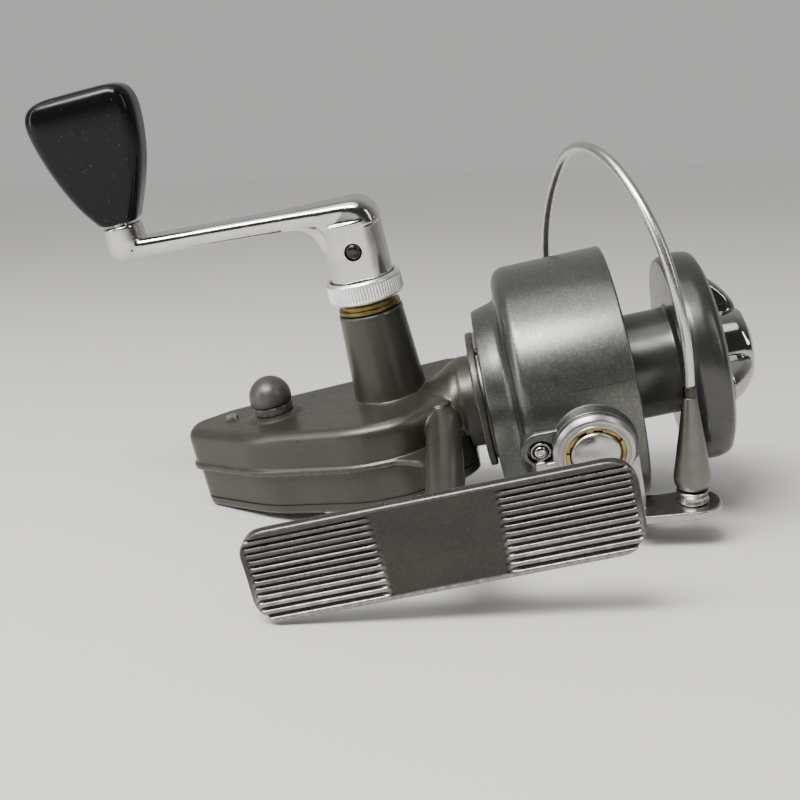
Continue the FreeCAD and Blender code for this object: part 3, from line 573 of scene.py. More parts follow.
def modified(mesh, cutters=(), added=(), trim=None, rounding=0, voxel=0.0, soft=0):
    """The mesh joined with more shapes, trimmed, rounded or softened, then cut, as asked for."""
    blank = linked("blank", mesh)
    helpers = [combine(blank, "UNION", shape) for shape in added]
    if trim:
        helpers.append(combine(blank, "INTERSECT", trim))
    if rounding:
        blank.modifiers.new("rounding", "SUBSURF").levels = rounding
    if voxel:
        soften(blank, voxel, soft)
    helpers += [combine(blank, "DIFFERENCE", shape) for shape in cutters]
    bpy.context.view_layer.update()
    graph = bpy.context.evaluated_depsgraph_get()
    result = bpy.data.meshes.new_from_object(blank.evaluated_get(graph))
    for helper in [blank, *helpers]:
        old = helper.data
        bpy.data.objects.remove(helper)
        bpy.data.meshes.remove(old)
    return result


def point_values(mesh, key):
    """One row of three numbers for each point of the mesh: its place (co) or its normal."""
    values = numpy.empty(len(mesh.vertices) * 3)
    mesh.vertices.foreach_get(key, values)
    return values.reshape(-1, 3)


def mark_wear(mesh, most_wear, low=1.3, high=4.5, spread=2):
    """Store on each point how sharply the surface bends outward there, up to most_wear, as wear."""
    count = len(mesh.vertices)
    place = point_values(mesh, "co") / MM
    normal = point_values(mesh, "normal")
    ends = numpy.empty(len(mesh.edges) * 2, numpy.int64)
    mesh.edges.foreach_get("vertices", ends)
    first, second = ends.reshape(-1, 2).T
    step = place[second] - place[first]
    bend = ((normal[second] - normal[first]) * step).sum(1) / numpy.maximum((step ** 2).sum(1), 1e-6)
    most = numpy.zeros(count)
    numpy.maximum.at(most, first, bend)
    numpy.maximum.at(most, second, bend)
    wear = numpy.clip((most - low) / (high - low), 0, 1)
    around = numpy.bincount(first, minlength=count) + numpy.bincount(second, minlength=count)
    for _ in range(spread):
        total = numpy.bincount(first, wear[second], count) + numpy.bincount(second, wear[first], count)
        wear = 0.5 * wear + 0.5 * total / numpy.maximum(around, 1)
    layer = mesh.attributes.new("wear", "FLOAT", "POINT")
    layer.data.foreach_set("value", (most_wear * wear).astype(numpy.float32))


def piece(name, mesh, body, stands_for, sharp=36.0, finish=None, wear=1.0):
    """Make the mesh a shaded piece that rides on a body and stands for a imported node."""
    slot = slots[stands_for]
    mesh.name = name
    mesh.shade_smooth()
    mesh.set_sharp_from_angle(angle=math.radians(sharp))
    mark_wear(mesh, wear)
    mesh.materials.clear()
    mesh.materials.append(finish or materials[slot])
    made = linked(name, mesh)
    lowest_points.append((point_values(mesh, "co") @ numpy.array(floor_normal)).min())
    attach(made, body)
    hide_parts(stands_for)


def turned_piece(name, corners, matrix, body, stands_for, turns=96, cutters=(), **settings):
    """A piece turned about an axis, with slots or holes cut into it."""
    closed = corners[0][0] > 0
    shape = (turned_ring if closed else turned)(corners, turns)
    mesh = to_mesh(name, placed(matrix, shape))
    if cutters:
        mesh = modified(mesh, [placed(matrix, cutter) for cutter in cutters])
    piece(name, mesh, body, stands_for, **settings)


# ---- gear case -----------------------------------------------------------------

def case_ring(inset, z, front=math.inf):
    """The case outline at one height, every side moved in by inset and nothing ahead of front."""
    arc_steps = 8
    side_steps = 6
    count = len(case_corners)
    sides = []
    for i, (x, y, _) in enumerate(case_corners):
        start = Vector((x, y))
        along = (Vector(case_corners[(i + 1) % count][:2]) - start).normalized()
        sides.append((start + Vector((-along.y, along.x)) * inset, along))
    bends = []
    for i in range(count):
        start, along = sides[i - 1]
        end, onward = sides[i]
        corner = start + along * ((end - start).cross(onward) / along.cross(onward))
        radius = max(case_corners[i][2] - inset, 0.3)
        half_turn = math.acos(max(-1.0, min(1.0, along.dot(onward)))) / 2
        reach = radius * math.tan(half_turn)
        centre = corner - along * reach + Vector((-along.y, along.x)) * radius
        spoke = corner - along * reach - centre
        turns = [2 * half_turn * step / arc_steps for step in range(arc_steps + 1)]
        bends.append([centre + Matrix.Rotation(turn, 2) @ spoke for turn in turns])
    ring = []
    for i, bend in enumerate(bends):
        ring.extend(bend)
        onward = bends[(i + 1) % count][0]
        ring.extend(bend[-1].lerp(onward, step / side_steps) for step in range(1, side_steps))
    return [Vector((min(point.x, front), point.y, z)) for point in ring]


def case_rings(levels, front=math.inf):
    """Case outlines from (inset, height) levels."""
    return [case_ring(inset, z, front) for inset, z in levels]


def rounded_edge(inset, z, edge, steps):
    """(inset, height) levels round an edge that starts at inset and ends at height z.

    The edge rises to z, or comes down to it where its radius is given as negative.
    """
    levels = []
    for step in range(1, steps + 1):
        turn = math.radians(90 * step / steps)
        levels.append((inset + abs(edge) * (1 - math.cos(turn)), z - edge * (1 - math.sin(turn))))
    return levels


def case_shell():
    """Upper half of the gear case: an open-bottomed shell with its rim band and rounded top edge."""
    edge = 2.4
    band_top = parting_z + 1.3
    inner_front = -34.6
    inside = [(wall + 0.6, ceiling_z), (wall, ceiling_z - 0.6), (wall, 1.0), (wall, parting_z)]
    band = [(-0.35, parting_z), (-0.6, parting_z + 0.2), (-0.6, band_top - 0.25), (-0.35, band_top),
            (0.0, band_top + 0.1)]
    outside = [(0.0, 0.0), (0.0, top_z - edge)] + rounded_edge(0.0, top_z, edge, 6)
    return skin(case_rings(inside, inner_front) + case_rings(band + outside))


def neck_hump():
    """Low mound that rises out of the case, the bearing hub and the thin disc before it."""
    mound = turned([(0, -45.0, 0), (3.4, -44.6, 1.0), (6.2, -38.2, 3.0), (8.8, -34.3, 1.6),
                    (hub_r, -32.6, 0.6), (hub_r, -31.0, 0), (0, -31.0, 0)])
    points, faces = placed(ALONG_X, mound)
    spread = [1 + 0.45 * clamp((-33.5 - point.x) / 5.0) for point in points]
    upper = [Vector((x, y * wide, max(z, parting_z))) for (x, y, z), wide in zip(points, spread)]
    disc = turned([(0, -33.0, 0), (hub_r, -33.0, 0.5), (hub_r, disc_x, 0), (neck_r, disc_x, 0.3),
                   (neck_r, neck_front, 0.3), (0, neck_front, 0)])
    return merge((upper, faces), placed(ALONG_X, disc))


def stem():
    """Round leg to the foot, spreading where it meets the foot, and the thin web beside it."""
    leg = turned([(0, 3.4, 0), (5.9, 3.4, 0.6), (4.1, 6.2, 2.0), (stem_r, 9.0, 2.0), (stem_r, 54.0, 0),
                  (0, 54.0, 0)], 72)
    from_foot = moved_to(stem_x, foot_face, 0) @ turned_about("X", -90)
    curve = smooth_path([(-56.5, -14.6, 0), (-47.5, -16.6, 0), (-41.6, -22.6, 0)], 8, (1, 0, 0), (0.2, -1, 0))
    outline = [point.xy for point in curve] + outline_of((-36.0, -22.0), (-33.5, -8.0), (-50, -8.0))
    web = plate(outline, parting_z, parting_z + 1.35, 0.25)
    return merge(placed(from_foot, leg), web)


def inner_bosses():
    """Screw bosses and bearing blocks inside the shell, cast in one with it."""
    bosses = [rod((x, y, parting_z + 0.1), (x, y, ceiling_z + 0.6), 2.3) for x, y in cover_screw_spots]
    bosses.append(block((-77.2, -3.6, -2.9), (-72.2, 3.6, ceiling_z + 0.5)))
    for x in (-77.0, -58.1):
        bosses.append(block((x, 8.1, -1.6), (x + 1.6, 11.4, ceiling_z + 0.5)))
    return merge(*bosses)


def make_housing():
    """Housing casting: shell, neck, handle tower, button boss and stem, bored for their shafts."""
    tower = turned([(0, 2.6, 0), (7.75, 2.6, 0), (6.65, tower_top - 0.9, 0.3), (6.72, tower_top - 0.5, 0.2),
                    (6.6, tower_top, 0.3), (0, tower_top, 0)])
    boss = turned([(0, 3.0, 0), (6.6, 3.0, 0), (6.1, top_z + 0.1, 0.8), (4.7, top_z + 0.72, 0.8),
                   (0, top_z + 0.72, 0)], 72)
    solids = merge(case_shell(), neck_hump(), placed(ON_HANDLE, tower),
                   placed(moved_to(ratchet_x, ratchet_y, 0), boss), stem(), inner_bosses())
    handle_bore = rod((handle_x, handle_y, 0.0), (handle_x, handle_y, 30.0), 4.2)
    bearing_seat = rod((-33.05, 0, 0), (-20, 0, 0), 8.02, 96)
    neck_bore = rod((-36.0, 0, 0), (-32.0, 0, 0), 5.0, 64)
    shaft_bore = rod((-82.6, 0, 0), (-70.0, 0, 0), 2.3)
    guide_rod_bore = rod((-77.5, 9.7, 0), (-56.0, 9.7, 0), 1.0)
    button_bore = rod((ratchet_x, ratchet_y, 1.0), (ratchet_x, ratchet_y, 10.0), 1.9)
    screw_bores = [rod((x, y, parting_z - 1), (x, y, 1.6), 0.9) for x, y in cover_screw_spots]
    bores = [handle_bore, bearing_seat, neck_bore, shaft_bore, guide_rod_bore, button_bore, *screw_bores]
    casting = modified(to_mesh("housing_casting", solids), bores, voxel=0.22, soft=5)
    piece("housing_casting", casting, "frame", "main_housing")


def make_cover():
    """Side cover: a tray under the case with a rounded lower edge and a scribed line round it."""
    top = parting_z - 0.1
    front = -32.3
    inner_front = -35.0
    edge = 1.7
    inside = [(wall + 0.8, floor_z), (wall + 0.3, floor_z + 0.5), (wall + 0.3, top)]
    outside = [(0.6, top), (0.5, top - 0.15)]
    outside += [(0.5, top - 0.6 - 0.5 * i) for i in range(12)]
    scribed_line = [(0.5, -10.9), (0.82, -11.04), (0.82, -11.28), (0.52, -11.42)]
    outside += scribed_line + rounded_edge(0.5, bottom_z, -edge, 7)
    rings = case_rings(inside, inner_front) + case_rings(outside, front)
    screw_hole = turned([(0, bottom_z - 1, 0), (2.1, bottom_z - 1, 0), (2.1, bottom_z + 0.75, 0),
                         (1.1, bottom_z + 1.75, 0), (1.1, bottom_z + 4, 0), (0, bottom_z + 4, 0)], 72)
    hub_room = rod((-33.3, 0, 0), (-31.0, 0, 0), hub_r + 0.3, 96)
    neck_bore = rod((-36.0, 0, 0), (-31.0, 0, 0), 3.5)
    cutters = [hub_room, neck_bore]
    cutters += [placed(moved_to(x, y, 0), screw_hole) for x, y in cover_screw_spots]
    mesh = modified(to_mesh("side_cover_tray", skin(rings)), cutters)
    piece("side_cover_tray", mesh, "frame", "side_cover", wear=0.3)


def make_button():
    """Domed anti-reverse button on its waisted neck, and the small square index beside it."""
    place = moved_to(ratchet_x, ratchet_y, 0)
    dome_r = 4.5
    centre = 8.7
    corners = [(0, 2.1, 0), (1.8, 2.1, 0), (1.8, 5.4, 0), (4.1, 5.5, 0.3), (4.2, 7.2, 0.25), (3.5, 7.35, 0.1),
               (3.5, 7.6, 0.1)]
    corners += [(x, z, 0) for x, z in arc((0, centre), dome_r, -14, 104, 14)[:-1]]
    corners.append((0, centre + dome_r, 0))
    turned_piece("ratchet_button", corners, place, "anti_reverse", "anti_reverse_knob", turns=80, sharp=50)
    square = outline_of((-84.2, 6.0), (-81.9, 6.0), (-81.9, 7.8), (-84.2, 7.8))
    peg = plate(square, top_z - 0.2, top_z + 0.88, 0.15, 2)
    piece("index_peg", to_mesh("index_peg", peg), "frame", "indicator_peg")


# ---- foot ------------------------------------------------------------------------

# The foot is a plate from foot_rear to foot_front, its face hollowed by a trough of radius
# trough_r between two flat lands, and its back bulging between thin edges.
foot_rear = foot_x - foot_length / 2
foot_front = foot_x + foot_length / 2
foot_half = foot_width / 2
trough_depth = 1.1
trough_land = 0.7
trough_r = ((foot_half - trough_land) ** 2 + trough_depth ** 2) / (2 * trough_depth)
rib_pitch = 1.25
rib_depth = 0.55
rib_zone = 7.5
foot_edge = 2.2
foot_bulge = 1.8


def step_up(value, low, high):
    """0 below low, 1 above high and an even curve between them."""
    t = numpy.clip((value - low) / (high - low), 0.0, 1.0)
    return t * t * (3 - 2 * t)


def from_foot_end(x):
    return numpy.minimum(x - foot_rear, foot_front - x)


def trough(z):
    """How deep the hollow that runs along the foot is."""
    return numpy.maximum(0, trough_depth - z * z / (2 * trough_r))


def foot_face_y(x, z):
    """The side towards the rod: a hollow, grip ribs near both ends and a rounded rim."""
    end = from_foot_end(x)
    ribbed = step_up(end, 0.5, 1.8) * (1 - step_up(end, 20.4, 23.2)) * (abs(z) < rib_zone)
    across = abs((z / rib_pitch) % 1.0 - 0.5) * 2
    groove = 1 - step_up(across, 0.15, 0.60)
    rim = 0.3 * (1 - step_up(foot_half - abs(z), 0.0, 0.35)) + 0.3 * (1 - step_up(end, 0.0, 0.5))
    return foot_face + trough(z) + rib_depth * ribbed * groove + rim


def foot_back_y(x, z):
    """The side towards the reel: thicker in the middle, thin at both ends and along the edges."""
    inside = foot_half - abs(z)
    thicker = foot_bulge * numpy.clip(from_foot_end(x) / 22.0, 0.0, 1.0) * step_up(inside, 0.6, 3.2)
    return foot_face + foot_edge + thicker - 0.4 * (1 - step_up(inside, 0.0, 0.6))


def slab(front, back, columns, rows):
    """Closed shape from two grids of points and the rim between them."""
    count = len(front)
    faces = []
    for i in range(columns):
        for j in range(rows):
            a = i * (rows + 1) + j
            b = a + rows + 1
            faces.append((a, b, b + 1, a + 1))
            faces.append((count + a, count + a + 1, count + b + 1, count + b))
    rim = [i * (rows + 1) for i in range(columns)] + [columns * (rows + 1) + j for j in range(rows)]
    rim += [i * (rows + 1) + rows for i in range(columns, 0, -1)] + list(range(rows, 0, -1))
    for a, b in zip(rim, rim[1:] + rim[:1]):
        faces.append((a, count + a, count + b, b))
    return [*front, *back], faces


def wear_and_highlight_foot(mesh):
    """Brighten the crests of the ribs and the lower rim, on top of the wear that is there: wear on the crests,
    with a painted highlight that keeps it to the lower half, where the hollow's lower side faces up.
    """
    x, y, z = (point_values(mesh, "co") / MM - numpy.array(ORIGIN) / MM).T
    depth = y - foot_face - trough(z)
    on_top = numpy.clip(1.3 - depth / 0.2, 0, 1)
    end = from_foot_end(x)
    ribbed = numpy.clip(end, 0, 1) * numpy.clip(22.6 - end, 0, 1)
    # Painted highlight: only the lower half of the ribs is brightened, where the hollow faces up towards the
    # light.
    rib_wear_and_highlight = 0.85 * ribbed * numpy.clip((0.8 - z) / 5.0, 0, 1)
    # The lower rim is brightened along its length.
    lower_rim_brightening = 0.8 * numpy.clip((-z - 7.2) / 0.3, 0, 1)
    wear = numpy.empty(len(x), numpy.float32)
    layer = mesh.attributes["wear"].data
    layer.foreach_get("value", wear)
    # The wear layer now holds both the foot's wear and this painted highlight.
    wear = numpy.maximum(wear, on_top * numpy.maximum(rib_wear_and_highlight, lower_rim_brightening))
    layer.foreach_set("value", wear.astype(numpy.float32))


def make_foot():
    """Seat plate with rounded ends, blended a little so that its ribs look cast."""
    columns = 200
    rows = 165
    corner_r = 5.0
    xs = foot_rear + foot_length * numpy.arange(columns + 1) / columns
    zs = -foot_half + foot_width * numpy.arange(rows + 1) / rows
    x, z = [grid.ravel() for grid in numpy.meshgrid(xs, zs, indexing="ij")]
    front = numpy.column_stack((x, foot_face_y(x, z), z))
    back = numpy.column_stack((x, foot_back_y(x, z), z))
    outline = rounded_box_ring((foot_x, 0, 0), foot_length / 2 - 0.01, foot_half - 0.01, corner_r,
                               (1, 0, 0), (0, 0, 1), 10)
    levels = (foot_face - 2, foot_face + 8)
    trim = skin([[point + Vector((0, y, 0)) for point in outline] for y in levels])
    blank = to_mesh("foot_plate", slab(front, back, columns, rows))
    mesh = modified(blank, trim=trim, voxel=0.135, soft=2)
    piece("foot_plate", mesh, "frame", "main_housing", finish=variants["foot_lacquer"], wear=0.5)
    # Wear plus a painted highlight on the lower ribs, and a brighter lower rim.
    wear_and_highlight_foot(mesh)


# ---- handle ----------------------------------------------------------------------

def make_lock_ring():
    """Locking ring with a fine straight knurl between two smooth lips, open at the top."""
    teeth = 76
    tooth_steps = 8
    knurl_r = 7.6
    knurl_low = 26.25
    knurl_high = 29.45
    knurl_depth = 0.17
    run_out = 0.25
    turns = teeth * tooth_steps
    outline = eased([(4.25, 25.6, 0.1), (7.25, 25.6, 0.25), (7.62, 25.95, 0.15), (7.72, 26.35, 0.1),
                     (7.72, 29.25, 0.1), (7.68, 29.7, 0.2), (7.3, 30.2, 0.3), (6.85, 30.2, 0.2),
                     (6.62, 29.9, 0.2), (6.62, 27.0, 0.1), (4.25, 27.0, 0.1)], 4)
    rings = []
    for radius, height in outline:
        deep = clamp((height - knurl_low) / run_out) * clamp((knurl_high - height) / run_out)
        cut = knurl_depth * deep if radius > knurl_r else 0.0
        ring = []
        for i in range(turns):
            wave = abs((i % tooth_steps) / 4.0 - 1.0)
            out = radius - cut * min(1.0, 1.6 * wave)
            turn = 2 * math.pi * i / turns
            ring.append(Vector((handle_x + out * math.cos(turn), handle_y + out * math.sin(turn), height)))
        rings.append(ring)
    piece("knurled_ring", to_mesh("knurled_ring", skin(rings, loop=True)), "lock_ring", "lock_ring", sharp=28)


def make_washer():
    """Brass washer that lies on the tower, with a raised middle."""
    low = tower_top + 0.2
    corners = [(3.1, low, 0.05), (6.3, low, 0.15), (6.4, low + 0.3, 0.1), (6.4, low + 0.75, 0.1),
               (6.25, low + 0.9, 0.1), (5.7, low + 0.9, 0.05), (5.7, 24.9, 0.1), (3.1, 24.9, 0.05)]
    turned_piece("brass_washer", corners, ON_HANDLE, "frame", "tower_washer", finish=variants["old_brass"])


def crank_leg():
    """Round leg over the handle shaft with a flat on both sides."""
    out = leg_r + 0.02
    flat = 5.75
    points, faces = placed(ON_HANDLE, turned([(0, 30.0, 0), (out, 30.0, 0.2), (out, 42.0, 0), (0, 42.0, 0)]))
    return [Vector((x, min(max(y, handle_y - flat), handle_y + flat), z)) for x, y, z in points], faces


def crank_arm():
    """Elbow bent over from the leg, and the arm that tapers from it to the knob."""
    side = (0, 1, 0)
    bend_r = 5.0
    bend_x = handle_x + leg_r - bend_r
    bend_z = 46.15 - bend_r
    bend_steps = 14
    inner = Vector((handle_x - 5.2, handle_y, bend_z - 1.6))
    rings = []
    for step, (x, z) in enumerate(arc((bend_x, bend_z), bend_r, 0, 90, bend_steps)):
        outer = Vector((x, handle_y, z))
        across = outer - inner
        thick = across.length / 2
        half_y = 5.72 - 0.75 * step / bend_steps
        rings.append(rounded_box_ring((outer + inner) / 2, thick, half_y, min(thick, half_y) * 0.55,
                                      across.normalized(), side, 8))
    # x, height of the middle, half width and half thickness along the arm
    stations = [(-53.6, 43.95, 4.75, 2.25), (-56.0, 44.15, 4.3, 2.05), (-60.0, 44.42, 3.9, 1.92),
                (-70.0, 44.95, 3.55, 1.84), (-80.0, 45.45, 3.45, 1.8), (-88.0, 45.85, 3.42, 1.8),
                (-91.6, 46.15, 3.5, 1.85)]
    for x, z, half_y, half_z in stations:
        rings.append(rounded_box_ring((x, handle_y, z), half_z, half_y, half_z * 0.80, (0.05, 0, 1), side, 8))
    return skin(rings)


def crank_gusset():
    """Fillet under the elbow, between the leg and the arm."""
    outline = outline_of((-52.5, 44.6), (-61.0, 43.9), (-60.2, 42.6))
    outline += arc((-59.0, 37.3), 5.2, 90, -90, 8) + outline_of((-52.5, 36.0))
    return skin([[Vector((x, handle_y + y, z)) for x, z in outline] for y in (-3.9, 3.9)])


def with_shape(mesh, shape):
    """The mesh with one more closed shape lying in it, not blended with the rest."""
    work = bmesh.new()
    work.from_mesh(mesh)
    work.from_mesh(to_mesh("shape", shape))
    work.to_mesh(mesh)
    work.free()
    return mesh


def make_crank():
    """Polished crank: forked leg, elbow, tapering arm, the knob's socket and spindle, and the fold pin."""
    socket = turned([(0, 44.15, 0), (2.9, 44.15, 1.2), (4.0, 45.6, 1.0), (4.1, 47.4, 0.6), (3.95, 51.0, 0.3),
                     (0, 51.0, 0)], 72)
    elbow = rod((handle_x, handle_y, 40.0), (handle_x, handle_y, 42.4), leg_r - 1.4)
    spindle = rod((knob_x, handle_y, 50.5), (knob_x, handle_y, 70.0), 1.9)
    fork_slot = block((handle_x - 9, handle_y - 2.4, 29), (handle_x + 3.5, handle_y + 2.4, 38.2))
    slot_top = block((handle_x - 3.6, handle_y - 2.4, 38.0), (handle_x + 3.5, handle_y + 2.4, 39.7))
    pin_bore = rod((handle_x, -6, pin_z), (handle_x, 14, pin_z), 1.78, 64)
    on_knob = moved_to(knob_x, handle_y, 0)
    solids = merge(crank_leg(), crank_arm(), crank_gusset(), placed(on_knob, socket), elbow)
    mesh = modified(to_mesh("crank", solids), [fork_slot, slot_top, pin_bore], voxel=0.17, soft=9)
    piece("crank", with_shape(mesh, spindle), "crank", "crank_arm", sharp=50)
    pin = turned([(0, -5.95, 0), (0.9, -5.9, 0.5), (1.68, -5.4, 0.4), (1.68, 5.4, 0.4), (0.9, 5.9, 0.5),
                  (0, 5.95, 0)], 48)
    across = moved_to(handle_x, handle_y, pin_z) @ turned_about("X", -90)
    piece("fold_pin", to_mesh("fold_pin", placed(across, pin)), "drive", "crank_pin")


def make_knob():
    """Black paddle knob: narrow collar, flaring faces, nearly level crown and rounded corners."""
    # height, left and right edge, half thickness and tilt in degrees
    stations = [(51.3, -96.0, -88.5, 3.7, 0.0), (51.9, -96.4, -88.2, 3.9, 0.0),
                (54.6, -98.4, -86.9, 4.2, 0.0), (58.0, -100.2, -85.4, 4.45, 0.0),
                (62.0, -101.8, -83.9, 4.7, 0.0), (66.0, -103.0, -82.9, 4.85, 0.0),
                (70.0, -103.9, -82.3, 4.9, 0.3), (73.0, -104.2, -82.1, 4.85, 0.6),
                (75.0, -104.0, -82.4, 4.6, 0.9), (76.5, -103.1, -83.2, 4.1, 1.0),
                (77.4, -101.4, -84.6, 3.2, 1.0), (77.8, -98.8, -86.6, 2.0, 1.0)]
    rings = []
    for z, left, right, half_y, tilt in stations:
        lean = math.radians(tilt)
        across = (math.cos(lean), 0, math.sin(lean))
        middle = Vector(((left + right) / 2, handle_y, z))
        rings.append(rounded_box_ring(middle, (right - left) / 2, half_y, half_y * 0.62, across, (0, 1, 0)))
    bore = rod((knob_x, handle_y, 50), (knob_x, handle_y, 71.0), 2.0)
    mesh = modified(to_mesh("paddle_knob", skin(rings)), [bore], rounding=2)
    piece("paddle_knob", mesh, "knob", "handle_knob", sharp=60)


# ---- rotor and bail ------------------------------------------------------------------

def bail_boss(radius, top, ease, flare):
    """Round boss that stands on the rotor's side and spreads a little where it meets it."""
    turns = 96
    rings = []
    levels = [(0.9 * radius, -3.0), (radius + flare, -2.2), (radius + flare, -0.25),
              (radius + 0.35 * flare, 0.2), (radius + 0.05, 0.5)]
    for out, rise in levels:
        ring = []
        for x, y, _ in circle(out, 0, turns):
            surface = math.sqrt(max(rotor_r ** 2 - y * y, 0))
            ring.append(Vector((x, y, min(surface + rise, top - ease - 0.05))))
        rings.append(ring)
    rings += [circle(out, height, turns) for out, height in arc((radius - ease, top - ease), ease, 0, 90, 4)]
    return skin(rings)


def anchor_island():
    """Raised island round the spring's anchor, its straight sides running into the boss."""
    radius = 3.6
    middle_y = 1.6
    outline = outline_of((0, middle_y - radius), (0, middle_y + radius))
    outline += arc((anchor_x, middle_y), radius, 90, 180, 24)
    return plate(outline, 23.5, 26.2, 0.4, 4)


def make_rotor():
    """Rotor cup with its stepped rear collar and the bosses that carry the bail."""
    rear = -22.6
    inner_r = rotor_r - rotor_wall
    corners = [(inner_r, 0.0, 0.15), (rotor_r - 0.25, 0.0, 0.15), (rotor_r, -0.3, 0.15),
               (rotor_r, -10.0, 0), (rotor_r, -20.4, 0.9), (rotor_r - 0.9, -21.8, 0.9),
               (rotor_r - 2.6, rear, 0.5), (19.8, -22.9, 0.35), (19.1, -23.7, 0.35), (18.7, -25.4, 0.6),
               (18.0, -27.8, 0.35), (15.6, -28.0, 0.15), (15.6, -24.4, 0.1), (8.0, -24.4, 0.3),
               (4.6, -26.4, 0.3), (4.2, -28.9, 0.1), (3.0, -28.9, 0), (3.0, -19.0, 0), (7.0, -19.0, 0.2),
               (8.0, -20.6, 0.3), (22.6, -20.8, 0.8), (inner_r, -19.6, 0.3)]
    cup = to_mesh("rotor", placed(ALONG_X, turned_ring(corners, 192)))
    near_boss = placed(NEAR, bail_boss(8.0, 26.9, 0.4, 0.4))
    far_boss = placed(FAR, bail_boss(5.2, 26.9, 0.4, 0.4))
    pivot_bore = rod((0, 0, 20), (0, 0, 30), 1.7)
    spring_groove = turned_ring([(5.3, 25.9, 0), (7.1, 25.9, 0), (7.1, 28.5, 0), (5.3, 28.5, 0)])
    anchor = (anchor_x, anchor_y)
    coil_pocket = rod((*anchor, 24.9), (*anchor, 27), 2.6)
    anchor_bore = rod((*anchor, 24.2), (*anchor, 26), 0.8)
    trip_pin_bore = rod((-26, 0, 13.4), (-18, 0, 13.4), 1.1)
    scribed_line = block((-11.2, -26.5, -0.08), (-1.5, -25.6, 0.08))
    cutters = [rod((-19.4, 0, 0), (1.0, 0, 0), inner_r - 0.001, 192)]
    cutters += [placed(NEAR, shape) for shape in (pivot_bore, spring_groove, coil_pocket, anchor_bore)]
    cutters += [placed(FAR, pivot_bore), trip_pin_bore, placed(turned_about("X", -14.9), scribed_line)]
    mesh = modified(cup, cutters, added=[near_boss, far_boss, placed(NEAR, anchor_island())])
    piece("rotor", mesh, "rotor", "rotor_cup", sharp=32, wear=0.35)


def spring_shape():
    """Open loop round the near pivot and the small coil round the spring's anchor."""
    loop = [NEAR @ Vector((x, y, 26.35)) for x, y in arc((0, 0), 6.2, 12, 318, 160)]
    coil = []
    coil_steps = 120
    for step, (x, y) in enumerate(arc((anchor_x, anchor_y), 1.75, 200, -600, coil_steps)):
        coil.append(NEAR @ Vector((x, y, 25.2 + 0.9 * step / coil_steps)))
    outward = NEAR.to_3x3() @ Vector((0, 0, 1))
    return merge(tube(loop, [0.4] * len(loop), 12, outward), tube(coil, [0.27] * len(coil), 10, outward))


def make_pivots():
    """Screws at both ends of the bail, the spring's anchor and the spring itself."""
    near = [(0, 24.1, 0), (1.6, 24.1, 0), (1.6, 26.9, 0), (4.68, 27.6, 0), (4.7, 28.7, 0.3),
            (4.35, 29.15, 0.3), (3.0, 29.7, 0.8), (1.4, 29.93, 0.5), (0, 29.98, 0)]
    turned_piece("near_screw", near, NEAR, "rotor", "near_pivot_screw", finish=variants["worn_chrome"])
    far_slot = block((-5, -0.35, 29.2), (5, 0.35, 31))
    far = [(0, 24.1, 0), (1.6, 24.1, 0), (1.6, 26.9, 0.1), (2.0, 27.0, 0), (2.0, 28.5, 0.05),
           (3.2, 28.5, 0.15), (3.2, 29.25, 0.2), (2.5, 29.75, 0.4), (1.2, 29.95, 0.4), (0, 30.0, 0)]
    turned_piece("far_screw", far, FAR, "rotor", "far_pivot_screw", cutters=[far_slot])
    anchor = [(0, 24.3, 0), (0.75, 24.3, 0), (0.75, 25.3, 0), (1.2, 25.3, 0.1), (1.25, 26.2, 0.2),
              (0.8, 26.55, 0.3), (0, 26.65, 0)]
    place = NEAR @ moved_to(anchor_x, anchor_y, 0)
    turned_piece("spring_anchor", anchor, place, "rotor", "spring_anchor_screw", turns=48)
    piece("bail_return_spring", to_mesh("bail_return_spring", spring_shape()), "rotor", "bail_spring")


def arm_plates():
    """Plate leg of the bail arm and the short tail that the spring pushes."""
    leg = eased([(-6.8, -2.5, 0.5), (-4.6, -13.0, 2.5), (-1.5, -15.4, 1.5), (7.4, -15.4, 0.6),
                 (7.8, -12.0, 1.0), (7.7, -2.0, 0.5), (5.0, -4.5, 0.5), (0.0, -6.5, 0.5),
                 (-4.5, -4.6, 0.5)], 4)
    tail = eased([(-7.0, -1.5, 0), (-9.3, -1.5, 0.2), (-9.4, -2.0, 0.3), (-11.3, -2.0, 0.6),
                  (-11.3, 0.2, 0.6), (-9.4, 0.2, 0.3), (-9.3, -0.25, 0.2), (-7.0, -0.25, 0)], 4)
    return merge(plate(leg, 27.1, 28.55, 0.25), plate(tail, 27.12, 28.28, 0.3, 4))


def roller_tab():
    """Rounded tab that carries the line guide and the roller."""
    outline = outline_of((-12.0, -4.6), (-6, -4.8), (0.6, -4.95))
    for step in range(1, 16):
        turn = math.radians(-90 + 180 * step / 16)
        outline.append(Vector((0.5 + 4.75 * math.cos(turn), 4.93 * math.sin(turn))))
    outline += outline_of((0.6, 4.9), (-6.0, 4.2), (-12.0, 4.5))
    return plate(outline, -1.6, 0.0, 0.35)


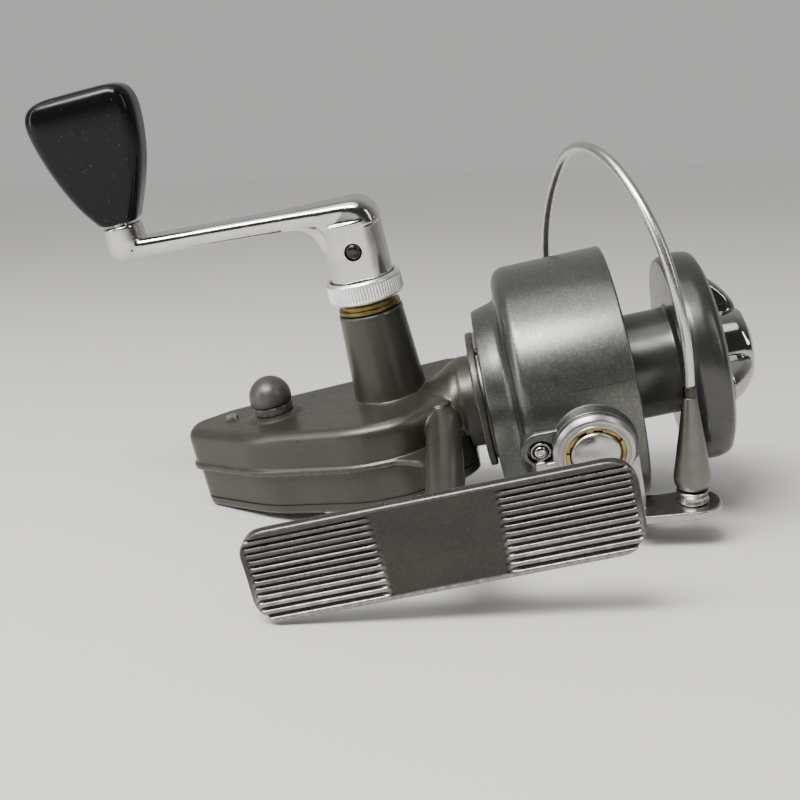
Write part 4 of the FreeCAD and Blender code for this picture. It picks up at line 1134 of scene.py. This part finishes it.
def make_bail_arm():
    """Bail arm: leg and tab in one soft stamping, the bevelled ring on it and the notched bush inside."""
    roller_room = 2.7
    on_tab = Matrix.Translation(cone_foot - guide_axis * roller_room) @ GUIDE.to_3x3().to_4x4()
    solids = merge(placed(NEAR, arm_plates()), placed(on_tab, roller_tab()))
    soft_leg = modified(to_mesh("bail_arm_leg", solids), voxel=0.13, soft=4)
    ring_hole = rod((0, 0, 20), (0, 0, 40), 5.6, 96)
    screw_hole = rod((0, 0, -5), (0, 0, 3), 1.3)
    leg = modified(soft_leg, [placed(NEAR, ring_hole), placed(on_tab, screw_hole)])
    piece("bail_arm_leg", leg, "bail", "bail_arm", sharp=50, finish=variants["satin_chrome"])
    ring = [(5.6, 27.1, 0.1), (7.9, 27.1, 0.15), (7.9, 27.85, 0.2), (7.15, 28.7, 0.2), (6.75, 28.78, 0.1),
            (6.45, 28.78, 0.06), (6.32, 28.6, 0.06), (6.12, 28.6, 0.06), (6.0, 28.78, 0.06),
            (5.6, 28.78, 0.12)]
    turned_piece("bail_arm_ring", ring, NEAR, "bail", "bail_arm", turns=120, finish=variants["satin_chrome"])
    bush = [(4.85, 27.1, 0.05), (5.55, 27.1, 0.05), (5.55, 28.72, 0.1), (4.85, 28.72, 0.1)]
    notches = [placed(turned_about("Z", turn), block((3, -0.9, 28.2), (8, 0.9, 29)))
               for turn in (30, 78, 112, 158, 250)]
    turned_piece("pivot_bush", bush, NEAR, "bail", "bail_pivot_bush", cutters=notches)


def make_line_guide():
    """Tapered guide, its sleeve, the roller below and the screw that holds them."""
    cone_end = guide_length - 2.2
    cone = [(0, -4.35, 0), (1.25, -4.35, 0.1), (1.25, 0.0, 0), (2.3, 0.0, 0.2), (3.15, 0.7, 0.6),
            (3.5, 2.2, 0.9), (1.3, cone_end, 0.1), (0, cone_end, 0)]
    turned_piece("guide_cone", cone, GUIDE, "bail", "line_guide_cone", turns=72,
                 finish=variants["guide_steel"])
    sleeve_end = guide_length - 0.02
    sleeve = [(0, cone_end, 0), (1.3, cone_end, 0.08), (1.2, sleeve_end, 0.1), (0, sleeve_end, 0)]
    turned_piece("wire_sleeve", sleeve, GUIDE, "bail", "guide_sleeve", turns=48)
    roller = [(1.32, -2.58, 0.05), (2.85, -2.58, 0.1), (3.08, -2.3, 0.15), (2.6, -1.32, 0.6),
              (3.08, -0.35, 0.15), (2.85, -0.09, 0.1), (1.32, -0.09, 0.05)]
    turned_piece("line_roller_wheel", roller, GUIDE, "roller", "line_roller", turns=72)
    screw = [(0, -6.0, 0), (1.7, -6.0, 0.2), (2.58, -5.4, 0.3), (2.6, -4.42, 0.1), (0, -4.42, 0)]
    slot = block((-3, -0.3, -6.2), (3, 0.3, -5.5))
    turned_piece("guide_screw", screw, GUIDE, "bail", "roller_screw", turns=64, cutters=[slot])


def make_wire():
    """Bail wire: from the guide's tip round over the spool to its flattened far eye."""
    stops = [cone_tip, (9.3, -26.3, 12.0), (9.1, -25.6, 20.5), (8.2, -22.8, 29.5), (6.0, -17.0, 38.2),
             (3.2, -10.0, 44.0), (0.3, -2.6, 46.2), (-2.6, 5.6, 44.6), (-5.6, 13.6, 38.2), (-8.3, 20.6, 28.6),
             (-9.8, 25.2, 18.0), (-10.0, 27.0, 8.6)]
    path = smooth_path(stops, 14, guide_axis, (0, 0.1, -0.99))
    end = FAR @ Vector((0, -3.2, 27.75))
    path += smooth_path([path[-1], end], 8, (0, 0.1, -0.99), (0, -0.17, -0.98))[1:]
    thinning = [0.97, 0.93, 0.88, 0.82, 0.76, 0.70, 0.65, 0.62]
    radii = [0.995] * (len(path) - len(thinning)) + thinning
    eye = turned_ring([(2.05, 27.1, 0.15), (4.0, 27.1, 0.3), (4.0, 28.4, 0.3), (2.05, 28.4, 0.15)], 72)
    mesh = to_mesh("bail_hoop", merge(tube(path, radii, 24), placed(FAR, eye)))
    piece("bail_hoop", mesh, "bail", "bail_wire", sharp=40, finish=variants["wire_steel"])


# ---- spool and drag -------------------------------------------------------------------

def make_spool():
    """Spool: skirt flange, arbor, bevelled front flange with a well for the drag knob."""
    corners = [(1.62, -4.6, 0), (21.8, -4.6, 0.25), (22.3, -4.25, 0.2), (22.3, -3.05, 0.2),
               (21.9, -2.7, 0.2), (12.2, -2.35, 0.5), (arbor_r, -1.8, 0.4), (arbor_r, 4.0, 0),
               (arbor_r, 10.0, 0.3), (arbor_r + 0.7, 10.65, 0.3), (20.2, 10.4, 0.15), (20.5, 10.7, 0.15),
               (20.75, 11.2, 0.15), (flange_r, 12.3, 0.5), (flange_r, 15.0, 0.7), (20.85, 16.5, 0.25),
               (20.4, 17.3, 0.25), (18.6, 18.15, 0.25), (14.0, 18.2, 0.25), (13.4, 17.7, 0.2),
               (13.4, 12.4, 0.1), (4.6, 12.4, 0.1), (4.6, 8.6, 0), (1.62, 8.6, 0)]
    hollow = turned_ring([(5.0, -5.5, 0), (9.2, -5.5, 0), (9.2, 8.0, 0.4), (5.0, 8.0, 0.4)])
    turned_piece("spool_body", corners, ALONG_X, "spool", "spool", turns=192, cutters=[hollow], sharp=34)


def finger_wing(angle):
    """One wing of the drag knob, its tip sloping in towards the front and its edges rounded."""
    outward = (0, math.cos(math.radians(angle)), math.sin(math.radians(angle)))
    across = (0, -outward[2], outward[1])
    inner_r = 5.0
    # x, radius of the tip and half width
    stations = [(18.55, 15.2, 2.9), (19.0, 15.5, 3.0), (20.2, 14.5, 3.0), (21.4, 13.25, 2.95),
                (22.3, 12.1, 2.8), (23.0, 11.1, 2.5), (23.7, 9.9, 2.0), (24.15, 8.9, 1.4)]
    rings = []
    for x, tip_r, half in stations:
        middle = Vector(outward) * ((inner_r + tip_r) / 2) + Vector((x, 0, 0))
        rings.append(rounded_box_ring(middle, (tip_r - inner_r) / 2, half, 0.8 * half, outward, across, 8))
    return skin(rings)


def make_drag_knob():
    """Bright drag knob with three finger wings, and its domed cap."""
    hub = turned_ring([(1.8, 18.55, 0), (8.2, 18.55, 0.2), (7.8, 23.6, 0.5), (7.3, 24.85, 0.3),
                       (6.65, 24.85, 0.1), (6.65, 24.2, 0), (1.8, 24.2, 0)], 120)
    skirt = turned_ring([(4.6, 16.95, 0.1), (5.6, 16.95, 0.2), (5.6, 18.9, 0), (4.6, 18.9, 0)], 72)
    wings = [finger_wing(angle) for angle in (75, 195, 315)]
    solids = merge(placed(ALONG_X, hub), placed(ALONG_X, skirt), *wings)
    mesh = modified(to_mesh("drag_knob_body", solids), voxel=0.13, soft=7)
    piece("drag_knob_body", mesh, "drag_knob", "drag_knob", sharp=60, finish=variants["dark_chrome"])
    cap = [(0, 24.2, 0), (6.5, 24.2, 0.05), (6.5, 24.8, 0.25), (6.1, 25.1, 0.5), (4.7, 25.7, 1.0),
           (2.6, 26.0, 0.8), (0, 26.1, 0)]
    turned_piece("drag_knob_cap", cap, ALONG_X, "drag_knob", "drag_cap")


make_housing()
make_foot()
make_cover()
make_button()
make_lock_ring()
make_washer()
make_crank()
make_knob()
make_rotor()
make_pivots()
make_bail_arm()
make_line_guide()
make_wire()
make_spool()
make_drag_knob()


# ---- floor, light and camera ------------------------------------------------

def make_floor():
    """The pale floor that the reel lies on: level in the picture, tilted in the reel's frame."""
    size = 6.0
    gap = 0.02 * MM
    foot_point = floor_normal * (min(lowest_points) - gap)
    corners = [(-size, -size, 0), (size, -size, 0), (size, size, 0), (-size, size, 0)]
    mesh = bpy.data.meshes.new("studio_floor")
    mesh.from_pydata(corners, [], [(0, 1, 2, 3)])
    floor = linked("studio_floor", mesh)
    tilt = floor_normal.to_track_quat("Z", "Y").to_matrix().to_4x4()
    floor.matrix_world = Matrix.Translation(foot_point) @ tilt
    finish = Finish("floor_paper", (0.62, 0.61, 0.59), 0.75, 0.0)
    finish.set(finish.shader, "Roughness", finish.band(finish.noise(0.05, 4.0), 0.3, 0.7, 0.7, 0.8))
    mesh.materials.append(finish.material)


def add_lamp(light, place, away):
    """A lamp at place that shines opposite to the direction away."""
    lamp = linked(light.name, light)
    lamp.location = place
    lamp.rotation_mode = "QUATERNION"
    lamp.rotation_quaternion = away.to_track_quat("Z", "Y")


def add_panel(name, offset, width, height, power):
    """Slightly warm light panel at an offset from the reel's middle, aimed at it."""
    middle = (cad_box[0] + cad_box[1]) / 2
    place = middle + Vector(offset)
    light = bpy.data.lights.new(name, "AREA")
    light.shape = "RECTANGLE"
    light.size = width
    light.size_y = height
    light.energy = power
    light.color = (1.0, 0.985, 0.96)
    add_lamp(light, place, place - middle)


def add_sun():
    """Very soft light from above and a little to the left, even over the whole floor."""
    sun = bpy.data.lights.new("sun", "SUN")
    sun.energy = 1.75
    sun.angle = math.radians(60)
    add_lamp(sun, (0, 0, 0), floor_normal + Vector((-0.35, -0.35, 0)))


def make_world():
    """Surroundings: pale towards the far side, dark behind the camera and overhead."""
    world = bpy.data.worlds.new("studio")
    world.use_nodes = True
    tree = world.node_tree
    back = tree.nodes["Background"]
    back.inputs["Color"].default_value = (0.99, 0.98, 0.96, 1.0)
    place = tree.nodes.new("ShaderNodeTexCoord")
    parts = tree.nodes.new("ShaderNodeSeparateXYZ")
    tree.links.new(place.outputs["Generated"], parts.inputs[0])
    depth = tree.nodes.new("ShaderNodeMapRange")
    for key, value in (("From Min", -0.4), ("From Max", 0.7), ("To Min", 0.05), ("To Max", 0.48)):
        depth.inputs[key].default_value = value
    tree.links.new(parts.outputs["Y"], depth.inputs["Value"])
    tree.links.new(depth.outputs[0], back.inputs["Strength"])
    bpy.context.scene.world = world


def make_camera():
    """The camera at the picture's viewing angle."""
    right = Vector((0.97338, 0.02737, -0.22757))
    up = Vector((0.20488, 0.34126, 0.91737))
    place = TO_ROW @ Vector((-21.83, -219.56, 79.72))
    camera_data = bpy.data.cameras.new("camera")
    camera_data.lens = 50.6
    camera_data.sensor_width = 36.0
    camera_data.clip_start = 0.01
    camera_data.clip_end = 50.0
    camera = linked("camera", camera_data)
    axes = Matrix((right, up, right.cross(up))).transposed().to_4x4()
    camera.matrix_world = Matrix.Translation(place) @ axes
    bpy.context.scene.camera = camera


make_floor()
add_panel("key_panel", (-0.10, -0.26, 0.60), 0.40, 0.20, 8.0)
add_panel("left_strip", (-0.55, -0.20, 0.35), 0.14, 0.50, 1.6)
add_panel("right_strip", (0.50, -0.30, 0.25), 0.08, 0.40, 0.6)
add_sun()
make_world()
make_camera()
